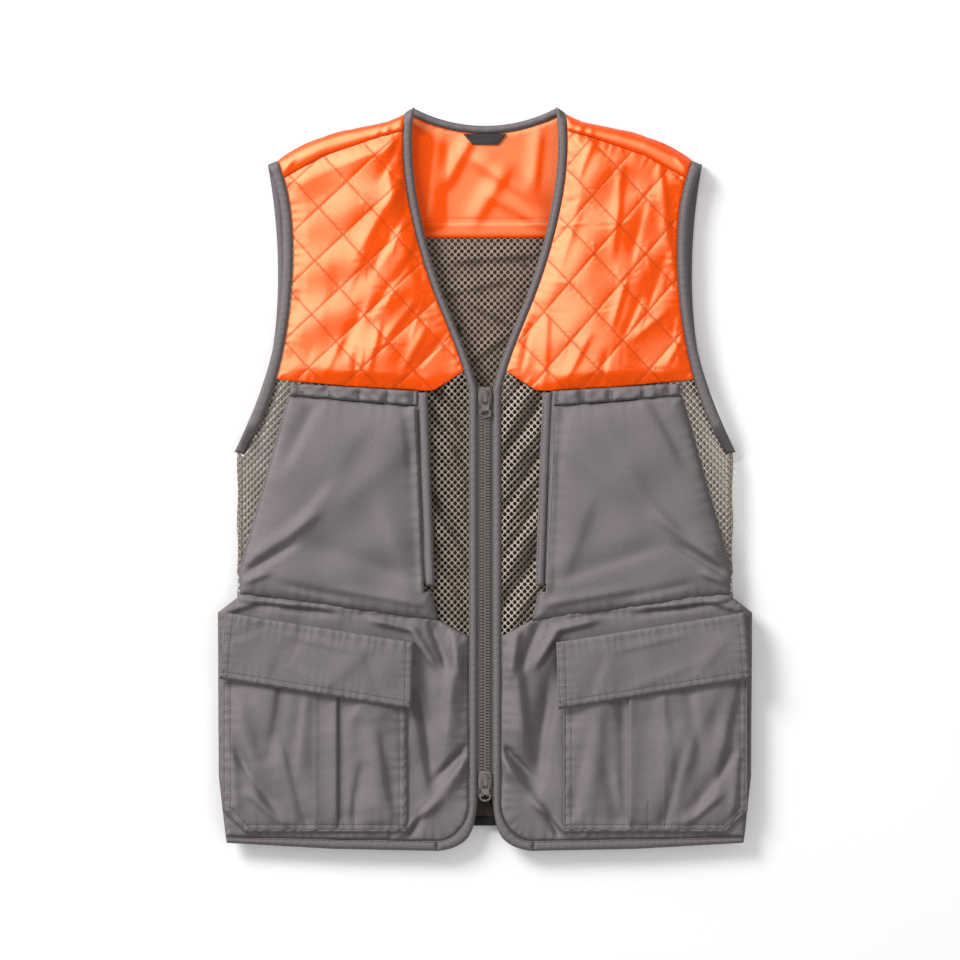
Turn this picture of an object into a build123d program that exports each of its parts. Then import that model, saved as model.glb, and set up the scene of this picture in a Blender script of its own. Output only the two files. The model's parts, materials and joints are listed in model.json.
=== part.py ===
"""A blaze orange and grey field vest, laid flat on its back with the front zip closed.

Frame: millimetres, +Z up, the floor at Z = 0. +Y points to the collar and +X to the wearer's left.
The origin is on the floor under the middle of the vest. Every half piece is drawn for the wearer's
left (X > 0) and mirrored for the right. The vest is two layers: the back lies on the floor, and the
front is held FRONT_Z above it, with the space for the body between them.
"""

from build123d import *
import math
import os

# ---- Driving dimensions, in millimetres -------------------------------------------------------
LENGTH = 740.0  # shoulder point to hem
HALF_WIDTH = 266.0  # at the cargo pockets
TOP_Y = LENGTH / 2
HEM_Y = -LENGTH / 2

CLOTH_T = 2.0  # shell cloth with its turnings
MESH_T = 1.6
YOKE_T = 7.0  # quilted shoulder yoke
BINDING_W = 10.0
EDGE_BINDING_W = 9.0  # down the front
FRONT_Z = 20.0  # underside of the front layer
BAG_DEPTH = 6.0  # game bag, between its two layers
CHEST_DEPTH = 7.0
CARGO_DEPTH = 10.0
WALL = 2.0  # folded side of a pocket or of the body

ZIP_HALF_GAP = 7.2  # front edge binding to the zip's middle
ZIP_TOP_Y = 92.0
ZIP_BOTTOM_Y = -306.0
TAPE_FOOT_Y = -316.0
TOOTH_PITCH = 3.0
CHAIN_HALF_W = 4.7
SLIDER_W = 13.6
SLIDER_L = 18.0
TOP_SLIDER_Y = 82.0
BOTTOM_SLIDER_Y = -299.5

# ---- Levels, each from the ones before ----------------------------------------------------------
FRONT_TOP = FRONT_Z + CLOTH_T
MESH_TOP = FRONT_Z + MESH_T
YOKE_TOP = FRONT_Z + YOKE_T
CHEST_FACE_Z = MESH_TOP + CHEST_DEPTH
CARGO_FACE_Z = FRONT_TOP + CARGO_DEPTH
CARGO_TOP = CARGO_FACE_Z + CLOTH_T
PATCH_T = 0.7
PATCH_GAP = 0.4
FLAP_T = 2.4
FLAP_Z = CARGO_TOP + 2 * PATCH_T + PATCH_GAP
LOWER_MESH_Z = CLOTH_T + BAG_DEPTH

# ---- Places on the wearer's left half -----------------------------------------------------------
NECK = (70.0, TOP_Y)
NECK_IN = (78.6, 365.6)
NECK_BACK_Y = 353.0
NECK_BINDING_W = 8.0
EDGE_TOP = (80.7, 364.6)
SHOULDER = (207.0, 318.0)
SHOULDER_OUT = (217.0, 314.0)
PIT = (240.0, 24.0)
PIT_OUT = (250.0, 27.0)
SIDE_TOP = (246.0, 20.0)
WAIST_IN = (246.0, -95.0)
WAIST_TURN = (246.5, -118.0)
WAIST_OUT = (HALF_WIDTH, -133.0)
SIDE_LOW = (265.0, -295.0)
HEM_SIDE = (258.0, -356.0)
FRONT_EDGE_X = ZIP_HALF_GAP + EDGE_BINDING_W
V_FOOT = (FRONT_EDGE_X, 88.0)
CORNER_START = (FRONT_EDGE_X, -318.0)
CORNER_END = (48.0, -360.0)
BACK_YOKE_Y = 241.0
BACK_HEM_Y = -346.0

# Curves between those places, each without its first point.
RIDGE = [(97, 357), (136, 349), (163, 341), SHOULDER]
V_OUTER = [(27, 125), (50, 183), (73, 260), (80.5, 305), (82, 340), EDGE_TOP]
V_INNER = [(72.8, 340), (71.2, 305), (64, 260), (41.5, 183), (18.5, 125), (ZIP_HALF_GAP, 88)]
ARM_FRONT = [(194, 272), (191, 232), (196, 157), (208, 99), PIT]
ARM_FRONT_OUTER = [(219, 100), (205, 160), (201, 235), (204, 275), SHOULDER_OUT]
ARM_BACK = [(200, 265), (197, 200), (204, 110), PIT]
ARM_BACK_OUTER = [(216, 110), (207, 190), (210, 265), SHOULDER_OUT]
CORNER_INNER = [(36, -357.5), (24, -347), CORNER_START]
CORNER_OUTER = [(11, -343), (18, -358), (31, -366.5), (CORNER_END[0], HEM_Y)]

# Seams across the front, each from the side to the zip.
YOKE_FOOT = [(214, 99.6), (134, 91.7), (58, 87.5), (50, 88.5), (23, 106), (10, 114.4)]
WAIST_LINE = [(270, -112), (234, -112), (52, -137), (10, -160)]
SHOULDER_SEAM = [(215, 291), (161, 321.5), (104, 341), (60, 352)]
RIDGE_INSIDE = [(215, 310.5), (163, 337), (136, 345), (97, 353), (60, 372)]
MIRROR = Plane.YZ


def region(start, *steps):
    """A flat face. A step is a point, (via, end) for an arc, or a list of points for a curve."""
    edges = []
    here = start
    for step in steps:
        if isinstance(step, list):
            end = step[-1]
            edges.append(Spline(here, *step))
        elif isinstance(step[0], tuple):
            end = step[1]
            edges.append(ThreePointArc(here, step[0], end))
        else:
            end = step
            edges.append(Line(here, end))
        here = end
    if here != start:
        edges.append(Line(here, start))
    return make_face(edges)


def slab(face, low, high):
    """The face pushed up from one level to another."""
    return Pos(0, 0, low) * extrude(face, amount=high - low, dir=(0, 0, 1))


def polygon(points):
    return region(tuple(points[0]), *[tuple(p) for p in points[1:]])


def above(line, top=400.0):
    """The area on the collar side of a line of points that runs from large X to small X."""
    return polygon([*line, (line[-1][0], top), (line[0][0], top)])


def below(line, foot=-400.0):
    return polygon([*line, (line[-1][0], foot), (line[0][0], foot)])


def both(half):
    """A half piece joined to its mirror image at X = 0."""
    return half + mirror(half, about=MIRROR)


# ---- Areas that several pieces share ------------------------------------------------------------
def neck_arc_via(width):
    """A point half way along the back neck's edge, the given width inside the outer edge."""
    return (38.0, NECK_BACK_Y + 4.8 - width)


def back_area():
    """The left half of the back layer, inside its bindings, down to the back hem."""
    return region(
        (0.0, NECK_BACK_Y - NECK_BINDING_W),
        (neck_arc_via(NECK_BINDING_W), NECK_IN),
        RIDGE,
        ARM_BACK,
        SIDE_TOP,
        WAIST_IN,
        WAIST_TURN,
        WAIST_OUT,
        SIDE_LOW,
        (259.0, BACK_HEM_Y + BINDING_W),
        (0.0, BACK_HEM_Y + BINDING_W),
    )


def front_area():
    """The left half of the front layer, inside its bindings."""
    return region(
        EDGE_TOP,
        RIDGE,
        ARM_FRONT,
        SIDE_TOP,
        WAIST_IN,
        WAIST_TURN,
        WAIST_OUT,
        SIDE_LOW,
        HEM_SIDE,
        CORNER_END,
        CORNER_INNER,
        V_FOOT,
        V_OUTER,
    )


# ---- Back layer ---------------------------------------------------------------------------------
def back_yoke():
    cut = Pos(0, BACK_YOKE_Y + 200, 0) * Box(600, 400, 20)
    return slab(both(back_area()), 0, CLOTH_T) & cut


def back_mesh():
    """Lies on the floor at the chest and steps up to form the inner wall of the game bag."""
    step_top, step_foot = -85.0, -122.0
    low_edge = BACK_HEM_Y + BINDING_W
    profile = [
        (BACK_YOKE_Y, 0),
        (BACK_YOKE_Y, MESH_T),
        (step_top, MESH_T),
        (step_foot, LOWER_MESH_Z + MESH_T),
        (low_edge, LOWER_MESH_Z + MESH_T),
        (low_edge, LOWER_MESH_Z),
        (step_foot, LOWER_MESH_Z),
        (step_top, 0),
    ]
    sheet = extrude(Plane.YZ * polygon(profile), amount=HALF_WIDTH, both=True)
    inside = region(
        (0.0, 400.0),
        (240.0, 400.0),
        (240.0, 24.0),
        (244.0, 20.0),
        (244.0, -96.0),
        (244.5, -119.0),
        (263.5, -134.0),
        (262.5, -295.0),
        (255.5, low_edge),
        (0.0, low_edge),
    )
    return sheet & slab(both(back_area()), 0, 20) & slab(both(inside), 0, 20)


def game_bag_panel():
    mouth = -130.0
    cut = Pos(0, mouth - 200, 0) * Box(600, 400, 20)
    return slab(both(back_area()), 0, CLOTH_T) & cut


def back_hem_binding():
    bar = region(
        (0.0, BACK_HEM_Y),
        (254.0, BACK_HEM_Y),
        (255.5, BACK_HEM_Y + BINDING_W),
        (0.0, BACK_HEM_Y + BINDING_W),
    )
    return slab(both(bar), 0, LOWER_MESH_Z + MESH_T)


def neck_binding():
    half = region(
        (0.0, NECK_BACK_Y),
        (neck_arc_via(0), NECK),
        NECK_IN,
        (neck_arc_via(NECK_BINDING_W), (0.0, NECK_BACK_Y - NECK_BINDING_W)),
    )
    return slab(both(half), 0, CLOTH_T + 2)


def neck_label():
    tab = polygon([(-22, 345), (22, 345), (13, 334), (-13, 334)])
    return slab(tab, CLOTH_T, CLOTH_T + 0.8)


# ---- Front layer --------------------------------------------------------------------------------
def shoulder_panel():
    """The back yoke carried over the shoulder: a top strip and the folded ridge under it."""
    strip = slab(front_area(), CLOTH_T, YOKE_TOP) & slab(above(SHOULDER_SEAM), 0, 40)
    under = slab(below(RIDGE_INSIDE), 0, FRONT_Z)
    return strip - under


def yoke_area():
    return (front_area() - above(SHOULDER_SEAM)) & above(YOKE_FOOT)


def quilted_yoke():
    """The quilted shell, with its batting inside."""
    return slab(yoke_area(), FRONT_Z, YOKE_TOP) - yoke_batting()


def yoke_batting():
    batt = region(
        (88.0, 334.0),
        (191.0, 297.0),
        ((185.5, 200.0), (200.0, 104.0)),
        (134.0, 97.5),
        (60.0, 93.5),
        (30.0, 111.0),
        ((69.0, 222.0), (88.0, 334.0)),
    )
    return slab(batt, FRONT_Z + 1, YOKE_TOP - 1)


def front_mesh():
    """The base of the chest: the chest pocket's face and welt are sewn on it."""
    area = (front_area() - above(YOKE_FOOT)) - below(WAIST_LINE)
    return slab(area, FRONT_Z, MESH_TOP)


def side_mesh():
    """The underarm wall between the front mesh and the back mesh."""
    strip = polygon([(246, 19.5), (246, -94.5), (244.4, -94.5), (244.4, 19.5)])
    return slab(strip, MESH_T, FRONT_Z)


def loop_tape():
    """A tape sewn down at intervals, which makes a row of narrow loops under the yoke."""
    tape = polygon([(193.5, 95), (67, 87.6), (68, 72.5), (194, 83)])
    body = slab(tape & below(YOKE_FOOT), MESH_TOP, MESH_TOP + 4.5)
    loops = [(84.0, 18.0), (112.0, 20.0), (140.0, 18.0), (169.0, 18.0)]
    for x, width in loops:
        body -= Pos(x, 85, MESH_TOP + 1.6) * Box(width, 60, 3.2)
    return body


CHEST_SIDE = [(196, 83), (207, 44), (219, 0), (232, -45), (245, -92)]


def chest_pocket():
    """A flat bag on the front mesh, entered from the zip side past the welt."""
    wall = 1.6
    foot_line = [(243.6, -111), (234, -111), (47, -136.7), (52.5, -107.5), (60.5, -107.5)]
    outline = polygon([(68, 72), *CHEST_SIDE, *foot_line])
    side = [(x - wall, y) for x, y in CHEST_SIDE]
    foot = [(242, -109), (233, -109), (62, -131.5), (62, -106), (40, -106)]
    hollow = polygon([(40, 68), (side[0][0], 80), *side[1:], *foot])
    return slab(outline, MESH_TOP, CHEST_FACE_Z + CLOTH_T) - slab(hollow, MESH_TOP, CHEST_FACE_Z)


def entry_welt():
    strip = polygon([(57, 86), (66.5, 86), (59, -106), (50, -106)])
    return slab(strip, MESH_TOP, MESH_TOP + 1.4)


def lower_front():
    """The lower front panel and the side that folds down to the game bag."""
    panel = slab(front_area() & below(WAIST_LINE), FRONT_Z, FRONT_TOP)
    outer = [WAIST_IN, WAIST_TURN, WAIST_OUT, SIDE_LOW, HEM_SIDE]
    inner = [(256, -356), (263, -295), (264, -134), (244.7, -119), (244.2, -96)]
    wall = slab(polygon([*outer, *inner]), CLOTH_T, FRONT_Z)
    return panel + wall


def front_edge_binding():
    """Down the V, beside the zip and round the front corner, with a return to the back neck."""
    band = region(
        EDGE_TOP,
        NECK,
        V_INNER,
        (ZIP_HALF_GAP, -318.0),
        CORNER_OUTER,
        CORNER_END,
        CORNER_INNER,
        V_FOOT,
        V_OUTER,
    )
    riser = polygon([NECK, NECK_IN, (80, 354), (72.5, 354)])
    return slab(band, FRONT_Z - 1, FRONT_TOP + 1.5) + slab(riser, CLOTH_T + 2, FRONT_Z)


def hem_binding():
    band = polygon([HEM_SIDE, (257, -362), (150, -368), (CORNER_END[0], HEM_Y), CORNER_END])
    return slab(band, FRONT_Z - 1, FRONT_TOP + 1.5)


def armhole_binding():
    """One loop: the front armhole, over the shoulder, the back armhole, and joined at the pit."""
    front = region(SHOULDER, ARM_FRONT, PIT_OUT, ARM_FRONT_OUTER)
    back = region(SHOULDER, ARM_BACK, PIT_OUT, ARM_BACK_OUTER)
    shared = front & back
    tip = polygon([SHOULDER, SHOULDER_OUT, (213, 303), (204.5, 303)]) & shared
    pit = polygon([PIT, PIT_OUT, (246, 36), (235, 34)]) & shared
    ends = slab(tip, CLOTH_T, FRONT_Z + 1) + slab(pit, CLOTH_T, FRONT_Z + 1)
    return slab(back, 0, CLOTH_T + 1) + ends + slab(front, FRONT_Z, YOKE_TOP)


# ---- Cargo pockets ------------------------------------------------------------------------------
HINGE_IN = (70.5, -162.0)
HINGE_OUT = (258.0, -132.0)
HINGE_MID = ((HINGE_IN[0] + HINGE_OUT[0]) / 2, (HINGE_IN[1] + HINGE_OUT[1]) / 2)
HINGE_SLOPE = (HINGE_OUT[1] - HINGE_IN[1]) / (HINGE_OUT[0] - HINGE_IN[0])
HINGE_ANGLE = math.degrees(math.atan(HINGE_SLOPE))
HINGE_HALF_L = math.dist(HINGE_IN, HINGE_OUT) / 2
FLAP_DROP = 66.0
MOUTH = 16.0  # between the flap's seam and the pocket's top edge


def hinge_frame(part):
    """Places a part drawn along the flap's seam: X along it, Y to the collar."""
    return Pos(HINGE_MID[0], HINGE_MID[1], 0) * Rot(0, 0, HINGE_ANGLE) * part


def mouth_y(x):
    return HINGE_MID[1] + HINGE_SLOPE * (x - HINGE_MID[0]) - MOUTH


def cargo_outline(inset=0.0, top_extra=0.0):
    """The pocket's outline, set in from its three sewn sides."""
    left, right, foot = 77.5 + inset, 261.0 - inset, -351.0 + inset
    cut = 22.0 - 0.4 * inset
    return polygon(
        [
            (left, mouth_y(left) + top_extra),
            (right, mouth_y(right) + top_extra),
            (right, foot + cut),
            (right - cut, foot),
            (left, foot),
        ]
    )


def cargo_gusset():
    hollow = cargo_outline(inset=WALL, top_extra=10)
    return slab(cargo_outline() - hollow, FRONT_TOP, CARGO_FACE_Z)


def cargo_face():
    return slab(cargo_outline(), CARGO_FACE_Z, CARGO_TOP)


def cargo_pleat(x):
    """The folded edge of the pleat that lets the pocket swell."""
    fold_w, head, foot = 17.0, -233.0, -346.0
    strip = polygon([(x, head), (x + fold_w, head), (x + fold_w, foot), (x, foot)])
    return slab(strip, CARGO_TOP, CARGO_TOP + 1.0)


def flap_root():
    """The flap's sewn edge, which stands up beside the pocket's mouth."""
    strip = Pos(0, -1, 0) * Rectangle(2 * HINGE_HALF_L, 2)
    return hinge_frame(slab(strip, FRONT_TOP, FLAP_Z - 0.6))


def cargo_flap():
    h = HINGE_HALF_L
    plate = polygon([(-h, 0), (h, 0), (h - 4.6, -FLAP_DROP), (-h - 8.4, -FLAP_DROP)])
    return hinge_frame(slab(plate, FLAP_Z, FLAP_Z + FLAP_T))


def patch(low):
    """Hook or loop tape near the flap's free edge."""
    tape = Pos(0, -46, 0) * RectangleRounded(60, 20, 2)
    return hinge_frame(slab(tape, low, low + PATCH_T))


def flap_hook_patch():
    return patch(FLAP_Z - PATCH_T)


def pocket_loop_patch():
    return patch(CARGO_TOP)


# ---- Zip ----------------------------------------------------------------------------------------
TAPE_LOW, TAPE_HIGH = 20.6, 21.8
TOOTH_LOW, TOOTH_HIGH = 19.3, 23.1
TOOTH_REACH = 1.6  # past the middle, where it meshes
TOOTH_L = 1.4


def zip_tape():
    near, far = 3.0, ZIP_HALF_GAP
    strip = polygon([(near, ZIP_TOP_Y), (far, ZIP_TOP_Y), (far, TAPE_FOOT_Y), (near, TAPE_FOOT_Y)])
    return slab(strip, TAPE_LOW, TAPE_HIGH)


CHAIN_Z = (TAPE_LOW + TAPE_HIGH) / 2
TAPE_SLOT = Pos(CHAIN_HALF_W, 0, CHAIN_Z) * Box(2 * CHAIN_HALF_W - 6, 4, TAPE_HIGH - TAPE_LOW)
TOOTH_COUNT = int((ZIP_TOP_Y - 2 - ZIP_BOTTOM_Y) / TOOTH_PITCH)


def zip_tooth():
    """One moulded tooth, clamped on the tape, with its head across the middle."""
    height = TOOTH_HIGH - TOOTH_LOW
    foot_w = CHAIN_HALF_W - TOOTH_REACH
    foot = Pos(TOOTH_REACH + foot_w / 2, 0, CHAIN_Z) * Box(foot_w, TOOTH_L + 0.6, height)
    head = Pos(0.1, 0, CHAIN_Z) * Box(2 * TOOTH_REACH - 0.2, TOOTH_L, height - 0.8)
    return foot + head - TAPE_SLOT


def zip_teeth(offset):
    """A row of separate teeth, half a pitch out of step with the other side."""
    tooth = zip_tooth()
    top = ZIP_TOP_Y - 3 - offset
    row = [Pos(0, top - i * TOOTH_PITCH, 0) * tooth for i in range(TOOTH_COUNT)]
    return Compound(children=row)


def zip_pin():
    """The end pin below the last tooth, which sits in the lower slider."""
    top = ZIP_TOP_Y - 3 - TOOTH_PITCH * TOOTH_COUNT
    length = top - TAPE_FOOT_Y
    return Pos(2.0, TAPE_FOOT_Y + length / 2, CHAIN_Z) * Box(2.0, length, 2.6)


def zip_top_stop():
    stop = Pos(3.5, ZIP_TOP_Y - 0.6, CHAIN_Z) * Box(2.6, 1.2, TOOTH_HIGH - TOOTH_LOW - 0.6)
    return stop - Pos(0, ZIP_TOP_Y, 0) * TAPE_SLOT


# Sliders: upper and lower plates with a channel for the chain, a crown on top, and a pull.
SLIDER_LOW, SLIDER_TOP = 17.8, 24.6
CROWN_L, CROWN_W, CROWN_H = 13.0, 4.4, 4.4
CROWN_WINDOW_H = 2.6
PULL_AXIS_Z = SLIDER_TOP + CROWN_WINDOW_H / 2
PULL_T = 1.6
PULL_REACH = 21.0


def slider_body():
    half, end = SLIDER_W / 2, SLIDER_L / 2
    plan = polygon([(-half, 0), (-half + 1.6, end), (half - 1.6, end), (half, 0), (5.4, -end), (-5.4, -end)])
    body = slab(plan, SLIDER_LOW, SLIDER_TOP)
    return fillet(body.edges().filter_by(Axis.Z), 1.5)


def slider_crown():
    crown = Pos(0, 0, SLIDER_TOP + CROWN_H / 2) * Box(CROWN_W, CROWN_L, CROWN_H)
    crown = fillet(crown.edges().filter_by(Axis.X).group_by(Axis.Z)[-1], 2.2)
    return crown - Pos(0, 0, PULL_AXIS_Z) * Box(CROWN_W + 2, CROWN_L - 4.4, CROWN_WINDOW_H)


def zip_slider(y):
    """A straight-through slider: the teeth and the tapes run on through its channel."""
    long = SLIDER_L + 2
    channel = Pos(0, 0, CHAIN_Z) * Box(2 * CHAIN_HALF_W + 0.6, long, TOOTH_HIGH - TOOTH_LOW + 0.4)
    slots = Pos(0, 0, CHAIN_Z) * Box(2 * SLIDER_W, long, TAPE_HIGH - TAPE_LOW + 0.8)
    return Pos(0, y, 0) * (slider_body() - channel - slots + slider_crown())


def zip_pull(y):
    """The tab: a bar under the crown, an arm on each side of it, a waist and an oval eye."""
    bar = Pos(0, 0, PULL_AXIS_Z) * Rot(0, 90, 0) * Cylinder(0.9, 8.0)
    eye_y = 5.0 - PULL_REACH
    arms = polygon([(-4.6, 1.0), (4.6, 1.0), (3.8, -11.5), (-3.8, -11.5)])
    window = Pos(0, -3.9, 0) * Rectangle(CROWN_W + 1.0, 8.4)
    ring = Pos(0, eye_y, 0) * Ellipse(5.8, 5.0)
    neck = polygon([(-3.8, -11), (3.8, -11), (5.0, eye_y), (-5.0, eye_y)])
    eye = Pos(0, eye_y - 0.6, 0) * Ellipse(4.2, 2.4)
    plate = slab(arms + neck + ring - window - eye, PULL_AXIS_Z - PULL_T / 2, PULL_AXIS_Z + PULL_T / 2)
    return Pos(0, y, 0) * (bar + plate)


# ---- Writing ------------------------------------------------------------------------------------
def write(name, shape):
    export_step(shape, f"parts/{name}.step")


def write_pair(name, shape):
    """The wearer's left piece as drawn, and its mirror image for the right."""
    write(f"{name}_left", shape)
    write(f"{name}_right", mirror(shape, about=MIRROR))


def main():
    os.makedirs("parts", exist_ok=True)
    singles = {
        "back_yoke": back_yoke(),
        "back_mesh": back_mesh(),
        "game_bag_panel": game_bag_panel(),
        "back_hem_binding": back_hem_binding(),
        "neck_binding": neck_binding(),
        "neck_label": neck_label(),
        "zip_slider_top": zip_slider(TOP_SLIDER_Y),
        "zip_pull_top": zip_pull(TOP_SLIDER_Y),
        "zip_slider_bottom": zip_slider(BOTTOM_SLIDER_Y),
        "zip_pull_bottom": zip_pull(BOTTOM_SLIDER_Y),
    }
    pairs = {
        "shoulder_panel": shoulder_panel(),
        "quilted_yoke": quilted_yoke(),
        "yoke_batting": yoke_batting(),
        "front_mesh": front_mesh(),
        "side_mesh": side_mesh(),
        "loop_tape": loop_tape(),
        "chest_pocket": chest_pocket(),
        "entry_welt": entry_welt(),
        "lower_front": lower_front(),
        "front_edge_binding": front_edge_binding(),
        "hem_binding": hem_binding(),
        "armhole_binding": armhole_binding(),
        "cargo_gusset": cargo_gusset(),
        "cargo_face": cargo_face(),
        "flap_root": flap_root(),
        "cargo_flap": cargo_flap(),
        "flap_hook_patch": flap_hook_patch(),
        "pocket_loop_patch": pocket_loop_patch(),
        "zip_tape": zip_tape(),
        "zip_pin": zip_pin(),
        "zip_top_stop": zip_top_stop(),
    }
    for name, shape in singles.items():
        write(name, shape)
    for name, shape in pairs.items():
        write_pair(name, shape)
    write("cargo_pleat_left", cargo_pleat(144.0))
    write("cargo_pleat_right", cargo_pleat(-147.0))
    write("zip_teeth_left", zip_teeth(0.0))
    write("zip_teeth_right", mirror(zip_teeth(TOOTH_PITCH / 2), about=MIRROR))


main()
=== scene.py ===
"""A blaze orange and grey field vest, zipped and laid flat on its back.

Every cloth piece is built over its CAD node's outline, in millimetres, as a closed sheet with its
own folds, seams and stitches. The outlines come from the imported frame, so nothing is fitted here.
"""

import json
import math

import bpy
import numpy as np
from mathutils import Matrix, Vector
from mathutils.bvhtree import BVHTree
from mathutils.geometry import delaunay_2d_cdt

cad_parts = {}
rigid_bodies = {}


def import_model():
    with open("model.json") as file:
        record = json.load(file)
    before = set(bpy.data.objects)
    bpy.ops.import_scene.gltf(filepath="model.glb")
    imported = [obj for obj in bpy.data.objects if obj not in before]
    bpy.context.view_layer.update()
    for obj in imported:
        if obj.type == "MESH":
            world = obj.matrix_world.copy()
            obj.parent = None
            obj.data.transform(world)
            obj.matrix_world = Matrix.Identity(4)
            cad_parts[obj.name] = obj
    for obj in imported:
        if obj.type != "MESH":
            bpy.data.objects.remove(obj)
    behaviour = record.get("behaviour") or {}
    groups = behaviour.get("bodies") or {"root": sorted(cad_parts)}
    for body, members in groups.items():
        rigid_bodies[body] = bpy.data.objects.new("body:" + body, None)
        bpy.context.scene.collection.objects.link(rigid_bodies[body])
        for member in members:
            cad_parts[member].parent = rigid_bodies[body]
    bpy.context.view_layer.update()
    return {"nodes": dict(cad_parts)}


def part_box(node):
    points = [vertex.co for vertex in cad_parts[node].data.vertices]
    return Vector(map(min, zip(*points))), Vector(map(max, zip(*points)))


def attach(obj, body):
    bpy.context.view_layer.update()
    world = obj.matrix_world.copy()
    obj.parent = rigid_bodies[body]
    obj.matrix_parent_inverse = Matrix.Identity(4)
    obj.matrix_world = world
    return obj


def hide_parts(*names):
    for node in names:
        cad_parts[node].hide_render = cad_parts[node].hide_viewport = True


for leftover in list(bpy.data.objects):
    bpy.data.objects.remove(leftover)
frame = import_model()
MM = 0.001
SIDES = {"left": 1, "right": -1}

# ---- Sizes of the cloth, net and thread, in millimetres ------------------------------------------
FRONT_Z = 20.0  # the front layer's underside, above the floor
CLOTH_T = 1.2
NET_PITCH_X, NET_PITCH_Y = 6.6, 3.5
NET_HOLE_X, NET_HOLE_Y = 2.0, 2.15
STITCH_L, STITCH_PITCH, STITCH_R = 2.3, 3.2, 0.36
MIN_FLAT = 0.0101  # metres, the narrowest flat side that same_size_strip gives; the narrowest flat size that a sheet may state
PAINTED_LIGHT_SIDE = (-0.40, 0.34, 0.85)  # painted light: cloth that leans towards this side, where the key light stands, is painted paler


# ---- Small mathematics --------------------------------------------------------------------------
def smooth(t):
    """0 below 0, 1 above 1, and an S-curve between."""
    t = np.clip(t, 0, 1)
    return t * t * (3 - 2 * t)


def bell(t, width):
    """1 at 0, falling off evenly on both sides."""
    return np.exp(-((t / width) ** 2))


def arch(d, width):
    """A low arch over the distances from 0 to a width."""
    return np.sin(math.pi * np.clip(d / width, 0, 1))


def rumple(x, y, wavelength, seed, waves=9):
    """Smooth, even noise between about -1 and 1, with features about a wavelength across."""
    rng = np.random.default_rng(seed)
    total = np.zeros_like(x)
    for _ in range(waves):
        angle, phase = rng.uniform(0, 2 * math.pi, 2)
        k = 2 * math.pi / (wavelength * rng.uniform(0.75, 1.6))
        total += np.sin(k * (x * math.cos(angle) + y * math.sin(angle)) + phase)
    return total / math.sqrt(waves)


def fold(x, y, at, angle, length, width, height):
    """One soft fold: a ridge (or a valley, if height is negative) along a line through a point."""
    a = math.radians(angle)
    u = (x - at[0]) * math.cos(a) + (y - at[1]) * math.sin(a)
    v = (y - at[1]) * math.cos(a) - (x - at[0]) * math.sin(a)
    ends = smooth(1.6 - 1.6 * np.abs(u) / length)
    side = np.where(v > 0, width, width * 0.55)
    return height * ends * bell(v, side)


def folds(x, y, rows):
    """Several folds together, each as (at, angle, length, width, height)."""
    return sum(fold(x, y, *row) for row in rows)


def inside(points, loop):
    """Which points lie inside a closed loop."""
    x, y = points[:, 0][:, None], points[:, 1][:, None]
    ax, ay = loop[:, 0], loop[:, 1]
    bx, by = np.roll(ax, -1), np.roll(ay, -1)
    crosses = (ay > y) != (by > y)
    rise = np.where(by == ay, 1e-9, by - ay)
    return (crosses & (x < (bx - ax) * (y - ay) / rise + ax)).sum(1) % 2 == 1


def edge_distance(points, path, closed=True):
    """Distance from each point to a path, and how far along the path its nearest point lies."""
    a = path if closed else path[:-1]
    b = np.roll(path, -1, 0) if closed else path[1:]
    ab = b - a
    length = np.maximum(np.linalg.norm(ab, axis=1), 1e-9)
    start = np.r_[0, np.cumsum(length)[:-1]]
    best = np.full(len(points), 1e9)
    along = np.zeros(len(points))
    for i in range(len(a)):
        t = np.clip(((points - a[i]) @ ab[i]) / length[i] ** 2, 0, 1)
        d = np.linalg.norm(points - a[i] - t[:, None] * ab[i], axis=1)
        nearer = d < best
        best = np.where(nearer, d, best)
        along = np.where(nearer, start[i] + t * length[i], along)
    return best, along


def onto(points, loop):
    """Points outside a loop are moved to its nearest edge; the others stay."""
    moved = points.copy()
    best = np.full(len(points), 1e9)
    outside = ~inside(points, loop)
    for a, b in zip(loop, np.roll(loop, -1, 0)):
        ab = b - a
        t = np.clip(((points - a) @ ab) / max(float(ab @ ab), 1e-12), 0, 1)
        foot = a + t[:, None] * ab
        d = np.linalg.norm(points - foot, axis=1)
        nearer = outside & (d < best)
        best = np.where(nearer, d, best)
        moved[nearer] = foot[nearer]
    return moved


# ---- Outlines, read from the frame --------------------------------------------------------------
def node_loop(node, top=True, level=None):
    """The outer edge of a CAD node's top (or bottom, or upward at a level) face, in millimetres."""
    mesh = frame["nodes"][node].data
    low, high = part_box(node)
    at = level * MM if level else high.z if top else low.z
    edges = {}
    for p in mesh.polygons:
        if abs(p.normal.z) < 0.99 or abs(p.center.z - at) > 2e-5 or (level and p.normal.z < 0):
            continue
        keys = [tuple(np.round(np.array(mesh.vertices[v].co[:2]) * 1000, 3)) for v in p.vertices]
        for a, b in zip(keys, keys[1:] + keys[:1]):
            if (b, a) in edges:
                del edges[(b, a)]
            else:
                edges[(a, b)] = True
    after = {a: b for a, b in edges if a != b}
    loops = []
    while after:
        loop = [next(iter(after))]
        while loop[-1] in after:
            loop.append(after.pop(loop[-1]))
        loops.append(np.array(loop[:-1]))
    loop = max(loops, key=lambda l: abs(area(l)))
    return loop if area(loop) > 0 else loop[::-1]


def area(loop):
    x, y = loop[:, 0], loop[:, 1]
    return 0.5 * float(np.sum(x * np.roll(y, -1) - np.roll(x, -1) * y))


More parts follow.
